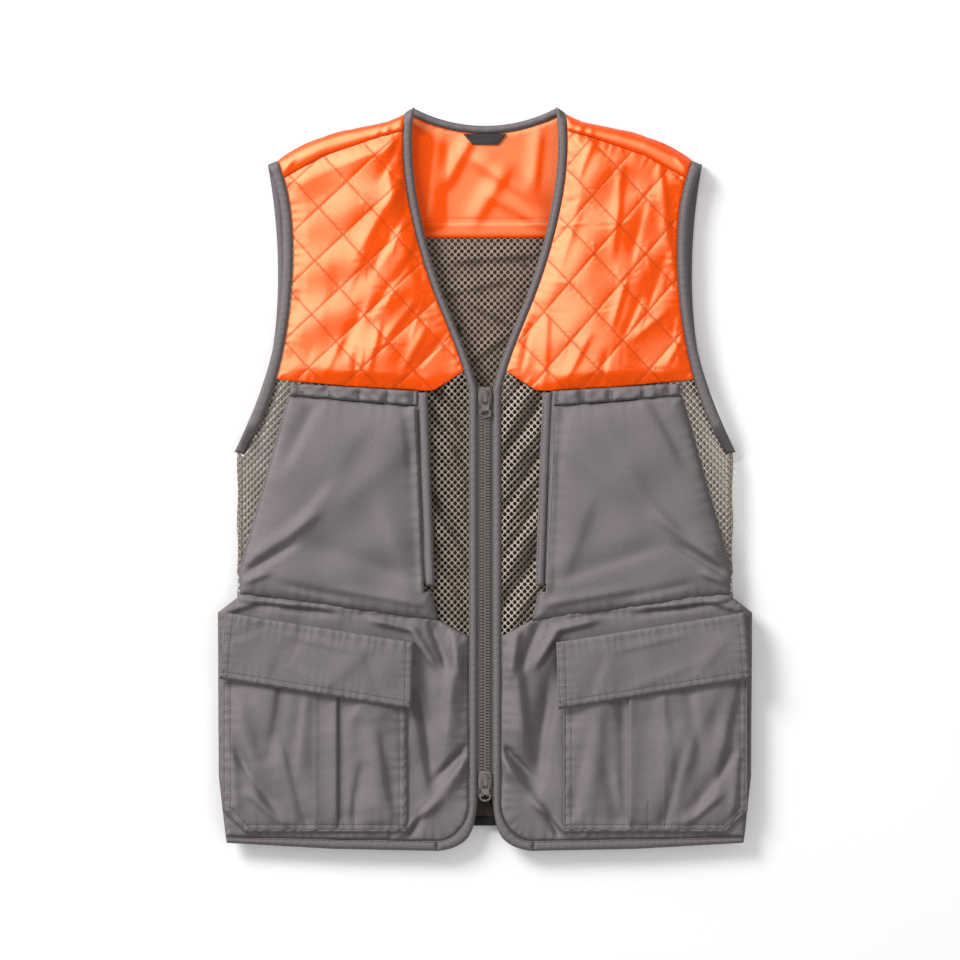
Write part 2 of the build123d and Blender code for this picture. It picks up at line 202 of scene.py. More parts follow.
def resample(path, step, closed=True):
    """Even points along a path, with its corners kept."""
    pts = np.vstack([path, path[:1]]) if closed else path
    seg = np.diff(pts, axis=0)
    seg_l = np.linalg.norm(seg, axis=1)
    keep = seg_l > 1e-4
    pts = np.vstack([pts[:-1][keep], pts[-1:]])
    seg, seg_l = seg[keep], seg_l[keep]
    heading = seg / seg_l[:, None]
    before = np.roll(heading, 1, 0)
    turn = np.degrees(np.arccos(np.clip((heading * before).sum(1), -1, 1)))
    corners = [i for i in range(len(seg)) if turn[i] > 22 and (closed or i)]
    if not closed or not corners:
        corners = [0] + corners
    at = np.r_[0, np.cumsum(seg_l)]
    stops = [at[c] for c in corners] + ([at[corners[0]] + at[-1]] if closed else [at[-1]])
    out = []
    for s0, s1 in zip(stops, stops[1:]):
        n = max(1, round((s1 - s0) / step))
        out += list(s0 + (s1 - s0) * np.arange(n) / n)
    if not closed:
        out.append(at[-1])
    wrapped = np.mod(out, at[-1]) if closed else np.array(out)
    return np.c_[np.interp(wrapped, at, pts[:, 0]), np.interp(wrapped, at, pts[:, 1])]


def edge_part(loop, a, b, inset=0.0):
    """The stretch of a loop from the point nearest a to the one nearest b, moved inwards."""
    pts = resample(loop, 1.5)
    i = int(np.argmin(np.linalg.norm(pts - np.array(a), axis=1)))
    j = int(np.argmin(np.linalg.norm(pts - np.array(b), axis=1)))
    path = pts[i : j + 1] if j >= i else np.vstack([pts[i:], pts[: j + 1]])
    return shift(path, inset)


def seam(loop, a, b, inset, longer=False):
    """The shorter (or the longer) of the two stretches of a loop between two points, moved inwards."""
    ways = edge_part(loop, a, b, inset), edge_part(loop, b, a, inset)
    return (max if longer else min)(ways, key=len)


def shift(path, distance):
    """A path moved to its left, which is inwards on an anticlockwise loop."""
    along = np.gradient(path, axis=0)
    along /= np.maximum(np.linalg.norm(along, axis=1), 1e-9)[:, None]
    return path + distance * np.c_[-along[:, 1], along[:, 0]]


def flipped(points, sx):
    return [(sx * x, y) for x, y in points]


def new_piece(name, points, faces, material, body="vest"):
    """A mesh from points in millimetres, with the material's slot."""
    mesh = bpy.data.meshes.new(name)
    mesh.from_pydata((np.asarray(points) * MM).tolist(), [], [list(map(int, f)) for f in faces])
    mesh.validate()
    mesh.update()
    mesh.polygons.foreach_set("use_smooth", [True] * len(mesh.polygons))
    piece = bpy.data.objects.new(name, mesh)
    bpy.context.scene.collection.objects.link(piece)
    piece.data.materials.append(material)
    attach(piece, body)
    return piece


def fill(loop, step, extra=None):
    """Points and triangles that fill a loop; the loop's own points come first."""
    edge = resample(loop, step)
    low, high = edge.min(0), edge.max(0)
    gx, gy = np.meshgrid(np.arange(low[0], high[0], step), np.arange(low[1], high[1], step * 0.866))
    gx[1::2] += step / 2
    grid = np.c_[gx.ravel(), gy.ravel()]
    if extra is not None and len(extra):
        near, _ = edge_distance(extra, edge)
        extra = extra[inside(extra, edge) & (near > 0.5 * step)]
        gap = np.linalg.norm(grid[:, None, :] - extra[None, :, :], axis=2).min(1)
        grid = grid[gap > 0.6 * step]
    near, _ = edge_distance(grid, edge)
    grid = grid[inside(grid, edge) & (near > 0.55 * step)]
    pts = np.vstack([edge, grid] + ([extra] if extra is not None and len(extra) else []))
    n = len(edge)
    rim = [(i, (i + 1) % n) for i in range(n)]
    out = delaunay_2d_cdt([Vector(p) for p in pts], rim, [list(range(n))], 1, 1e-5)
    new_pts = np.array([tuple(v) for v in out[0]])
    return new_pts, [tuple(f) for f in out[2]], n


def closed_sheet(flat, faces, n_edge, top, bottom):
    """Top and bottom skins over the same flat mesh, joined round the edge."""
    count = len(flat)
    points = np.vstack([np.c_[flat, top], np.c_[flat, bottom]])
    under = [tuple(count + v for v in reversed(f)) for f in faces]
    wall = [(i, count + i, count + (i + 1) % n_edge, (i + 1) % n_edge) for i in range(n_edge)]
    return points, [*faces, *under, *wall]


def same_size_strip(loop):
    """The sides of a rectangle with a loop's area and edge length, in metres."""
    a, half = abs(area(loop)), np.linalg.norm(loop - np.roll(loop, 1, 0), axis=1).sum() / 2
    root = math.sqrt(max(half * half - 4 * a, 0))
    length = (half + root) / 2 if root else math.sqrt(a)
    return max(a / length * MM, MIN_FLAT), length * MM


def lay(loop):
    """Works out the long side of a rectangle with the loop's area and edge length, and does not use it."""
    length = same_size_strip(loop)[1]


def cloth(name, loop, height, material, step=3.0, thick=CLOTH_T, roll=0.9, extra=None, **where):
    """A sheet of cloth over a loop. height(x, y, d, s) is the top, d and s its edge distance and place."""
    flat, faces, n = fill(loop, step, extra)
    d, s = edge_distance(flat, resample(loop, step))
    top = height(flat[:, 0], flat[:, 1], d, s)
    rounded = roll * (1 - np.sqrt(1 - np.clip(1 - d / max(roll, 1e-6), 0, 1) ** 2))
    points, quads = closed_sheet(flat, faces, n, top - rounded, top - thick)
    piece = new_piece(name, points, quads, material, **where)
    lay(loop)
    return piece


def net(name, loop, place, material, thick=0.9, **where):
    """Knitted net: staggered diamond cells with rounded holes. place(u, v) gives points in space."""
    px, py = NET_PITCH_X / 2, NET_PITCH_Y
    low, high = loop.min(0), loop.max(0)
    across, up = (np.arange(low[k] // p, high[k] // p + 2) for k, p in enumerate((px, py)))
    i, j = np.meshgrid(across, up)
    i, j = i.ravel(), j.ravel()
    chosen = (i + j) % 2 == 0
    cell = np.c_[i[chosen], j[chosen]]
    near, _ = edge_distance(cell * [px, py], loop)
    cell = cell[inside(cell * [px, py], loop) | (near < 1.6)]
    around = np.array([(2, 0), (1, 1), (0, 2), (-1, 1), (-2, 0), (-1, -1), (0, -2), (1, -1)])
    lattice = (cell[:, None, :] * 2 + around).reshape(-1, 2)
    shared, outer = np.unique(lattice, axis=0, return_inverse=True)
    outer = outer.reshape(-1, 8)
    turn = np.arctan2(around[:, 1], around[:, 0] * 0.98)
    hole = np.c_[NET_HOLE_X * np.cos(turn), NET_HOLE_Y * np.sin(turn)]
    inner_xy = (cell[:, None, :] * [px, py] + hole).reshape(-1, 2)
    inner = len(shared) + np.arange(len(inner_xy)).reshape(-1, 8)
    uv = onto(np.vstack([shared * [px / 2, py / 2], inner_xy]), loop)
    sunk = np.r_[np.zeros(len(shared)), np.full(len(inner_xy), 0.3)]
    count = len(uv)
    top = place(uv[:, 0], uv[:, 1], -sunk)
    faces = []
    for k in range(8):
        m = (k + 1) % 8
        faces.append(np.c_[outer[:, k], outer[:, m], inner[:, m], inner[:, k]])
        if thick:
            faces.append(np.c_[outer[:, m], outer[:, k], inner[:, k], inner[:, m]] + count)
            faces.append(np.c_[inner[:, k], inner[:, m], inner[:, m] + count, inner[:, k] + count])
    points = np.vstack([top, place(uv[:, 0], uv[:, 1], sunk - thick)]) if thick else top
    piece = new_piece(name, points, np.vstack(faces), material, **where)
    width, length = same_size_strip(loop)
    return piece


def ribbon(name, path, section, material, **where):
    """A closed section, as (outwards, up) points, carried along a path in the floor plane."""
    along = np.gradient(path, axis=0)
    along /= np.linalg.norm(along, axis=1)[:, None]
    out = np.c_[along[:, 1], -along[:, 0]]
    section = np.array(section)
    m, n = len(section), len(path)
    points = np.stack([np.c_[path + out * u, np.full(n, v)] for u, v in section], 1).reshape(-1, 3)
    faces = [
        (i * m + k, (i + 1) * m + k, (i + 1) * m + (k + 1) % m, i * m + (k + 1) % m)
        for i in range(n - 1)
        for k in range(m)
    ]
    faces += [tuple(range(m)), tuple((n - 1) * m + k for k in reversed(range(m)))]
    return new_piece(name, points, faces, material, **where)


def tree_of(pieces):
    """Something to drop points on: the pieces' faces together."""
    points, faces = [], []
    for piece in pieces:
        start = len(points)
        points += [v.co / MM for v in piece.data.vertices]
        faces += [[start + i for i in p.vertices] for p in piece.data.polygons]
    return BVHTree.FromPolygons(points, faces)


def stitches(name, paths, on, material, body="vest"):
    """Rows of short threads along paths, laid on the surface of some pieces."""
    tree = tree_of(on)
    points, faces = [], []
    for path in paths:
        line = resample(np.asarray(path, float), STITCH_PITCH, closed=False)
        for a, b in zip(line, line[1:]):
            heading = (b - a) / max(np.linalg.norm(b - a), 1e-9)
            half = heading * STITCH_L / 2
            mid = (a + b) / 2
            hit = tree.ray_cast(Vector((*mid, 90.0)), Vector((0, 0, -1)))[0]
            if hit is None:
                continue
            side = np.array([-heading[1], heading[0]]) * STITCH_R
            z = hit.z + STITCH_R * 0.35
            start = len(points)
            for t, r in ((-1, 0.35), (-0.6, 1), (0.6, 1), (1, 0.35)):
                c = mid + half * t
                dip = STITCH_R * (1 - r)
                points.append((*(c + side * r), z - dip))
                points.append((*c, z + STITCH_R * r - dip))
                points.append((*(c - side * r), z - dip))
                points.append((*c, z - STITCH_R * r - dip))
            for k in range(3):
                for q in range(4):
                    w = start + 4 * k
                    faces.append((w + q, w + (q + 1) % 4, w + 4 + (q + 1) % 4, w + 4 + q))
            faces.append((start + 3, start + 2, start + 1, start))
            faces.append((start + 12, start + 13, start + 14, start + 15))
    return new_piece(name, points, faces, material, body=body)


# ---- Materials ----------------------------------------------------------------------------------
class Nodes:
    """A short way to write a material's nodes."""

    def __init__(self, name):
        self.material = bpy.data.materials.new(name)
        self.material.use_nodes = True
        self.tree = self.material.node_tree
        self.shader = self.tree.nodes["Principled BSDF"]
        self.place = self.add("ShaderNodeTexCoord").outputs["Object"]

    def add(self, kind, inputs=None, **settings):
        node = self.tree.nodes.new(kind)
        for key, value in settings.items():
            setattr(node, key, value)
        for key, value in (inputs or {}).items():
            if hasattr(value, "is_output"):
                self.tree.links.new(value, node.inputs[key])
            else:
                node.inputs[key].default_value = value
        return node

    def noise(self, scale, detail=3.0, roughness=0.55, stretch=None):
        where = self.place
        if stretch:
            where = self.add("ShaderNodeMapping", {"Vector": where, "Scale": stretch}).outputs[0]
        made = self.add("ShaderNodeTexNoise", {"Vector": where, "Scale": scale, "Detail": detail,
                                              "Roughness": roughness})
        return made.outputs["Fac"]

    def wave(self, period, turn=0.0, distortion=0.0):
        """Bands across the turned X axis, with a period in metres."""
        turned = self.add("ShaderNodeMapping",
                          {"Vector": self.place, "Rotation": (0, 0, math.radians(turn))})
        made = self.add("ShaderNodeTexWave", {"Vector": turned.outputs[0], "Scale": 0.3142 / period,
                                             "Distortion": distortion, "Detail": 1.0, "Detail Scale": 1.5})
        return made.outputs["Fac"]

    def math(self, operation, a, b):
        return self.add("ShaderNodeMath", {0: a, 1: b}, operation=operation).outputs[0]

    def ramp(self, fac, *stops):
        node = self.add("ShaderNodeValToRGB", {"Fac": fac})
        elements = node.color_ramp.elements
        while len(elements) < len(stops):
            elements.new(0.5)
        for element, (at, colour) in zip(elements, stops):
            element.position = at
            element.color = (*colour, 1)
        return node.outputs["Color"]

    def mix(self, fac, a, b, blend="MIX"):
        node = self.add("ShaderNodeMix", data_type="RGBA", blend_type=blend)
        for key, value in ((0, fac), (6, a), (7, b)):
            if hasattr(value, "is_output"):
                self.tree.links.new(value, node.inputs[key])
            else:
                node.inputs[key].default_value = value if key == 0 else (*value, 1)
        return node.outputs[2]

    def bump(self, height, strength, distance, under=None):
        inputs = {"Height": height, "Strength": strength, "Distance": distance}
        if under is not None:
            inputs["Normal"] = under
        return self.add("ShaderNodeBump", inputs).outputs[0]

    def facing(self):
        """How far the cloth leans towards the key light's side, as a cosine: the materials paint light and
        shade from it.
        """
        normal = self.add("ShaderNodeNewGeometry").outputs["Normal"]
        return self.add("ShaderNodeVectorMath", {0: normal, 1: PAINTED_LIGHT_SIDE},
                        operation="DOT_PRODUCT").outputs["Value"]

    def finish(self, colour, roughness, normal, **values):
        link = self.tree.links.new
        link(colour, self.shader.inputs["Base Color"])
        if hasattr(roughness, "is_output"):
            link(roughness, self.shader.inputs["Roughness"])
        else:
            self.shader.inputs["Roughness"].default_value = roughness
        link(normal, self.shader.inputs["Normal"])
        for key, value in values.items():
            self.shader.inputs[key.replace("_", " ")].default_value = value
        return self.material


def tint(colour, by):
    return tuple(c * by for c in colour)


# Ramps of painted light: how far the cloth takes its painted highlight colour as it tilts towards the key
# light's side; the satin ramp is the stronger.
SATIN_PAINTED_LIGHT = ((0.74, 0.0), (0.84, 0.28), (0.91, 0.74), (0.985, 1.0))
SOFT_PAINTED_LIGHT = ((0.64, 0.0), (0.99, 1.0))


def woven(name, colour, yarn, rough, sheen, twill=False, soil=0.12, painted_light_colour=None, painted_light_ramp=SATIN_PAINTED_LIGHT, sewn=False):
    """Woven cloth: warp and weft yarns, or a diagonal twill, with slubs and uneven dye.

    Where a painted-light colour is given, the cloth is painted towards it where it leans to the key light's
    side, as painted highlight and painted shade; with sewn set, painted shade darkens the sunk sewn lines.
    """
    n = Nodes(name)
    blotch = n.noise(9.0, 4.0)
    fibre = n.noise(1400.0, 2.0, 0.7)
    grain = n.noise(620.0, 3.0, 0.8)
    if twill:
        yarns = n.math("MULTIPLY", n.wave(yarn, 63, 0.6), n.wave(yarn * 0.7, 0, 0.3))
    else:
        yarns = n.math("MULTIPLY", n.wave(yarn, 0, 0.4), n.wave(yarn, 90, 0.4))
    shade = n.ramp(blotch, (0.3, tint(colour, 1 - soil)), (0.7, tint(colour, 1 + soil)))
    # Painted light: the cloth is painted towards a lighter colour where it tilts to the key light's side,
    # and keeps its plain colour where it tilts away.
    if painted_light_colour:
        painted_light_share = n.ramp(n.facing(), *[(at, (value,) * 3) for at, value in painted_light_ramp])
        shade = n.mix(painted_light_share, shade, painted_light_colour)
    thread = n.ramp(yarns, (0.0, (0.84, 0.84, 0.84)), (0.8, (1.06, 1.06, 1.06)))
    flecks = n.ramp(grain, (0.3, (0.87, 0.87, 0.87)), (0.7, (1.12, 1.12, 1.12)))
    shade = n.mix(1.0, n.mix(1.0, shade, thread, "MULTIPLY"), flecks, "MULTIPLY")
    worn = n.ramp(n.add("ShaderNodeNewGeometry").outputs["Pointiness"], (0.5, (0, 0, 0)), (0.62, (1, 1, 1)))
    shade = n.mix(n.math("MULTIPLY", worn, 0.2), shade, tint(colour, 1.4))
    # Painted shade: the colour is darkened along the sunk sewn lines.
    if sewn:
        line = n.add("ShaderNodeAttribute", attribute_name="sewn").outputs["Fac"]
        shade = n.mix(n.math("MULTIPLY", line, 0.6), shade, tint(colour, 0.62))
    rough_map = n.math("MULTIPLY_ADD", blotch, 0.12)
    rough_map.node.inputs[2].default_value = rough - 0.06
    normal = n.bump(yarns, 0.35, 0.0002)
    normal = n.bump(fibre, 0.12, 0.0002, normal)
    normal = n.bump(n.noise(120.0, 3.0), 0.2 if sewn else 0.1, 0.0008, normal)
    return n.finish(shade, rough_map, normal, Sheen_Weight=sheen, Sheen_Roughness=0.45,
                    Specular_IOR_Level=0.1 if painted_light_ramp is SATIN_PAINTED_LIGHT and painted_light_colour else 0.22)


def knitted(name, colour, painted_shade_colour):
    """Net strands: loops of yarn, painted lighter on top and with painted shade where they turn down to a
    hole and where the net tilts away from the key light.
    """
    n = Nodes(name)
    blotch = n.noise(14.0, 3.0)
    loops = n.math("MULTIPLY", n.wave(0.0011, 32, 1.2), n.wave(0.0013, -32, 1.2))
    base = n.ramp(blotch, (0.3, tint(colour, 0.85)), (0.7, tint(colour, 1.12)))
    # Painted shade: the yarn loops darken where they turn down to a hole.
    shade = n.mix(n.ramp(loops, (0.0, (0.55, 0.55, 0.55)), (0.5, (0, 0, 0))), base, painted_shade_colour)
    # Painted shade where the net tilts away from the key light's side.
    shade = n.mix(n.ramp(n.facing(), (0.58, (0.8, 0.8, 0.8)), (0.84, (0, 0, 0))), shade, painted_shade_colour)
    normal = n.bump(loops, 0.5, 0.0003)
    normal = n.bump(n.noise(1200.0, 2.0), 0.15, 0.0002, normal)
    return n.finish(shade, 0.72, normal, Sheen_Weight=0.25, Specular_IOR_Level=0.3)


def moulded(name, colour, rough, metallic=0.0, scratch=0.2):
    """Moulded plastic or painted metal: mottled, with fine scratches and rubbed edges."""
    n = Nodes(name)
    mottle = n.noise(180.0, 4.0)
    scratches = n.noise(700.0, 3.0, 0.6, stretch=(1, 0.08, 1))
    base = n.ramp(mottle, (0.3, tint(colour, 0.82)), (0.7, tint(colour, 1.15)))
    edge = n.ramp(n.add("ShaderNodeNewGeometry").outputs["Pointiness"], (0.52, (0, 0, 0)), (0.6, (1, 1, 1)))
    shade = n.mix(n.math("MULTIPLY", edge, 0.5), base, tint(colour, 2.0))
    rough_map = n.math("MULTIPLY_ADD", scratches, scratch)
    rough_map.node.inputs[2].default_value = rough - scratch / 2
    normal = n.bump(scratches, 0.1, 0.0001)
    normal = n.bump(mottle, 0.06, 0.0002, normal)
    return n.finish(shade, rough_map, normal, Metallic=metallic)


def furry(name, colour):
    """Hook or loop tape: a dense pile of tiny curls."""
    n = Nodes(name)
    pile = n.noise(900.0, 4.0, 0.8)
    shade = n.ramp(pile, (0.3, tint(colour, 0.55)), (0.7, tint(colour, 1.35)))
    return n.finish(shade, 0.9, n.bump(pile, 0.9, 0.0008), Sheen_Weight=0.4)


ORANGE_DYE = (0.98, 0.090, 0.001)
# Painted highlight: the lighter orange painted where the cloth tilts towards the key light.
ORANGE_PAINTED_HIGHLIGHT = (1.0, 0.47, 0.215)
GREY_DYE = (0.178, 0.156, 0.160)
ORANGE = woven("orange_shell", ORANGE_DYE, 0.00055, 0.42, 0.0, soil=0.03, painted_light_colour=ORANGE_PAINTED_HIGHLIGHT, sewn=True)
LINING = woven("orange_lining", ORANGE_DYE, 0.00055, 0.46, 0.0, soil=0.03, painted_light_colour=ORANGE_PAINTED_HIGHLIGHT)
# The grey cloths carry painted light too: a darker base colour, painted lighter where they tilt towards the
# key light.
GREY = woven("grey_shell", tint(GREY_DYE, 0.60), 0.0009, 0.78, 0.12, twill=True, soil=0.06,
             painted_light_colour=tint(GREY_DYE, 1.34), painted_light_ramp=SOFT_PAINTED_LIGHT)
BINDING = woven("grey_binding", tint(GREY_DYE, 0.62), 0.0007, 0.74, 0.15, soil=0.06,
                painted_light_colour=tint(GREY_DYE, 1.2), painted_light_ramp=SOFT_PAINTED_LIGHT)
DARK = woven("dark_binding", (0.014, 0.012, 0.012), 0.0008, 0.8, 0.1)
LABEL = woven("label", (0.035, 0.035, 0.038), 0.0004, 0.55, 0.1)
TAPE = woven("zip_tape", (0.095, 0.083, 0.085), 0.0008, 0.8, 0.1)
NET = knitted("mesh_net", (0.41, 0.345, 0.283), (0.12, 0.09, 0.07))
SUNLIT_NET = knitted("mesh_net_sunlit", (0.60, 0.51, 0.43), (0.16, 0.125, 0.096))
BACK_NET = knitted("mesh_net_back", (0.40, 0.31, 0.245), (0.16, 0.115, 0.085))
DARK_NET = knitted("mesh_net_dark", (0.045, 0.032, 0.028), (0.02, 0.014, 0.012))
# A sheet of deep brown under the back net: partly a guessed inner layer, partly painted shade that darkens
# the holes of the nets above it.
BACKING_AND_PAINTED_SHADE = woven("mesh_backing_and_shade", (0.06, 0.038, 0.028), 0.0008, 0.85, 0.1)
PILE = furry("hook_and_loop", (0.12, 0.11, 0.11))
GREY_THREAD = woven("grey_thread", (0.07, 0.063, 0.065), 0.0003, 0.6, 0.1)
ORANGE_THREAD = woven("orange_thread", (0.72, 0.07, 0.006), 0.0003, 0.5, 0.1)
TEETH = moulded("zip_moulding", (0.105, 0.088, 0.078), 0.42)
METAL = moulded("zip_metal", (0.15, 0.13, 0.122), 0.36, metallic=0.5)


# ---- The front layer's lie ----------------------------------------------------------------------
def lie(x, y):
    """How far the front layer as a whole rises and falls."""
    return 0.7 * rumple(x, y, 140, 3, waves=5)


def seam_rise(d, width=6.0, depth=1.5):
    """Cloth is pulled down at its seams and recovers within a width."""
    return -depth * np.exp(-d / width)


def puckers(s, d, pitch, height, reach):
    """Short gathers along a seam, at right angles to it."""
    uneven = np.sin(2 * math.pi * s / pitch + 1.7 * np.sin(2 * math.pi * s / (pitch * 3.7)))
    return height * uneven * np.exp(-d / reach) * smooth(d / 1.2)


def row_groove(d, at, depth=0.45, width=0.9):
    """The sunk line that a row of stitches makes."""
    return -depth * bell(d - at, width)


def tape_ripple(s):
    """The small waves along a bound edge."""
    return 0.12 * np.sin(2 * math.pi * s / 7.3 + 1.3 * np.sin(s / 17))


def tape_height(base, width, crown=0.8, rows=(1.6,)):
    """A bound edge: a soft crown across the tape with a sunk row of stitches near its seam."""

    def height(x, y, d, s):
        z = base + lie(x, y) + crown * arch(d, width)
        z += tape_ripple(s)
        return z + sum(row_groove(d, row, 0.35, 0.7) for row in rows)

    return height


# ---- Quilted yokes ------------------------------------------------------------------------------
QUILTS = {  # a crossing, and the two sides of a sewn diamond
    "right": ((-112.6, 268.4), (28.0, 26.0), (24.5, -27.0)),
    "left": ((133.4, 252.0), (24.8, 28.6), (26.6, -28.6)),
}


def quilt_lines(loop, step, side):
    """The sewn lines of a yoke as rows of points, and the places where they cross."""
    at, a, b = (np.array(v) for v in QUILTS[side])
    reach = np.arange(-12, 13)
    lines = []
    for way, across in ((a, b), (b, a)):
        n = int(np.linalg.norm(way) / step)
        t = np.arange(-12 * n, 12 * n + 1) / n
        lines += [at + k * across + t[:, None] * way for k in reach]
    inner = [line[inside(line, loop)] for line in lines]
    i, j = np.meshgrid(reach, reach)
    crossings = at + i.reshape(-1, 1) * a + j.reshape(-1, 1) * b
    return [line for line in inner if len(line) > 3], crossings[inside(crossings, loop)]


def drawn_wrinkles(x, y, crossings, seed):
    """Short folds that run out from the sewn crossings, where the cloth is drawn together."""
    rng = np.random.default_rng(seed)
    total = np.zeros_like(x)
    for cross in crossings:
        for turn in rng.uniform(0, 360, 5):
            long, wide = rng.uniform(8, 17), rng.uniform(1.8, 3.4)
            away = 0.75 * long * np.array([math.cos(math.radians(turn)), math.sin(math.radians(turn))])
            total += fold(x, y, cross + away, turn, long, wide, rng.uniform(-0.9, 1.1))
    return total


def swollen(flat, faces, pinned, pressure, slack, frames=22):
    """Cloth sewn down at some points and blown up a little between them, by simulation."""
    unit = 0.1  # ten millimetres to a unit
    mesh = bpy.data.meshes.new("swelling")
    mesh.from_pydata(np.c_[flat * unit, np.zeros(len(flat))].tolist(), [], faces)
    piece = bpy.data.objects.new("swelling", mesh)
    bpy.context.scene.collection.objects.link(piece)
    group = piece.vertex_groups.new(name="sewn")
    group.add([int(i) for i in np.flatnonzero(pinned)], 1.0, "REPLACE")
    simulation = piece.modifiers.new("cloth", "CLOTH")
    settings = simulation.settings
    settings.quality = 6
    settings.mass = 0.3
    settings.tension_stiffness = settings.compression_stiffness = 15
    settings.shear_stiffness = 5
    settings.bending_stiffness = 0.02
    settings.vertex_group_mass = "sewn"
    settings.use_pressure = True
    settings.uniform_pressure_force = pressure
    settings.shrink_min = settings.shrink_max = -slack
    settings.effector_weights.gravity = 0
    simulation.collision_settings.use_collision = False
    simulation.point_cache.frame_end = frames
    for number in range(1, frames + 1):
        bpy.context.scene.frame_set(number)
    made = piece.evaluated_get(bpy.context.evaluated_depsgraph_get()).to_mesh()
    co = np.zeros(len(made.vertices) * 3, np.float32)
    made.vertices.foreach_get("co", co)
    bpy.data.objects.remove(piece)
    bpy.context.scene.frame_set(1)
    return co.reshape(-1, 3).astype(float) / unit


YOKE_CREST = {"right": (100, 34, 74), "left": (110, 46, 62)}  # its place, and its reach each way
YOKE_FOLDS = {
    "right": [
        ((-80, 330), 70, 34, 5, 2.0), ((-92, 322), 64, 40, 6, -1.8), ((-86, 290), 68, 50, 8, 2.0),
        ((-104, 262), 58, 60, 9, 2.2), ((-96, 236), 62, 50, 7, -2.2), ((-120, 225), 66, 60, 9, 1.6),
        ((-76, 226), 60, 44, 7, 2.0), ((-96, 190), 55, 44, 7, -2.0), ((-130, 150), 70, 44, 8, -2.0),
        ((-110, 130), 76, 34, 6, 2.0), ((-150, 122), 64, 30, 5, 1.8), ((-70, 128), 62, 34, 6, 2.0),
        ((-176, 116), 74, 24, 5, -1.6), ((-186, 300), 60, 26, 5, -1.8), ((-160, 180), 84, 60, 9, 1.2),
        ((-52, 128), 50, 26, 5, -1.8), ((-84, 158), 52, 36, 6, 1.8), ((-128, 112), 84, 22, 5, -1.6),
    ],
    "left": [
        ((84, 335), 62, 28, 6, -2.2), ((100, 318), 66, 44, 7, 2.2), ((132, 268), 84, 60, 6, 2.2),
        ((178, 280), 98, 44, 6, 2.6), ((184, 232), 104, 40, 6, 2.2), ((152, 246), 76, 44, 7, -2.0),
        ((74, 292), 60, 34, 5, -1.8), ((84, 240), 70, 44, 8, 1.6), ((76, 268), 34, 26, 4, -1.6),
        ((60, 130), 88, 44, 7, 2.2), ((42, 132), 76, 34, 5, -2.0), ((92, 120), 62, 34, 6, 2.0),
        ((134, 176), 74, 36, 5, 2.0), ((146, 160), 66, 30, 5, -1.8), ((164, 152), 40, 26, 5, 2.0),
        ((118, 108), 80, 26, 5, -1.8), ((190, 130), 60, 26, 5, 1.6), ((174, 206), 70, 50, 8, -1.6),
    ],
}


def quilted_yoke(side, sx):
    node = f"quilted_yoke_{side}"
    loop = node_loop(node)
    step = 1.9
    lines, crossings = quilt_lines(loop, step, side)
    flat, faces, n = fill(loop, step, np.unique(np.round(np.vstack(lines), 2), axis=0))
    on_line = np.min([edge_distance(flat, line, closed=False)[0] for line in lines], axis=0)
    pinned = (on_line < 0.35) | (np.arange(len(flat)) < n)
    moved = swollen(flat, faces, pinned, pressure=0.5, slack=0.03)
    x, y = flat[:, 0], flat[:, 1]
    d, s = edge_distance(flat, resample(loop, step))
    rise = np.clip(moved[:, 2], -0.5, 4.5) * 0.26
    crest, inner, outer = YOKE_CREST[side]
    from_crest = sx * x - crest
    bulge = (8.5 * np.exp(-((from_crest / np.where(from_crest > 0, outer, inner)) ** 2))
             * smooth((d + 3) / 20))
    broad = 0.9 * rumple(x, y, 60, 21 + sx) * smooth(d / 12)
    calm = 0.25 + 0.6 * smooth((168 - sx * x) / 50) if sx < 0 else 0.72
    rise *= 0.3 + 0.7 * calm
    creases = 0.6 * drawn_wrinkles(x, y, crossings, 31 + sx) + folds(x, y, YOKE_FOLDS[side])
    creases = creases * smooth(d / 5) * calm
    edge = puckers(s, d, 11, 0.45, 6)
    groove = -0.28 * bell(on_line, 0.9)
    top = FRONT_Z + 3.2 + lie(x, y) + rise + bulge + broad + creases + edge + groove + seam_rise(d, 4, 1.0)
    flat_moved = np.where(pinned[:, None], flat, moved[:, :2])
    points, quads = closed_sheet(flat_moved, faces, n, top, np.full(len(flat), FRONT_Z + 0.3))
    piece = new_piece(node + "_shell", points, quads, ORANGE)
    # The sewn lines' mask: the orange material paints shade along these sunk lines.
    sewn = piece.data.attributes.new("sewn", "FLOAT", "POINT")
    sewn.data.foreach_set("value", np.r_[bell(on_line, 0.8), np.zeros(len(flat))].astype(np.float32))
    piece.modifiers.new("smooth", "SUBSURF").levels = 1
    piece.modifiers["smooth"].render_levels = 1
    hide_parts(node, f"yoke_batting_{side}")
    stitches(f"quilting_{side}", lines, [piece], ORANGE_THREAD)


# ---- Shoulders and armholes ---------------------------------------------------------------------
RIDGE = [(80.7, 364.6), (97, 357), (136, 349), (163, 341), (189.5, 328.5), (207, 318), (217, 314)]


def over_the_ridge(x, y, sx, top, foot=3.0, radius=13.0):
    """Cloth at a level that rolls down to the floor side at the shoulder's ridge."""
    ridge = np.array(flipped(RIDGE, sx))
    d, _ = edge_distance(np.c_[x, y], ridge, closed=False)
    t = np.clip(1 - d / radius, 0, 1)
    return foot + (top - foot) * np.sqrt(1 - t**2)


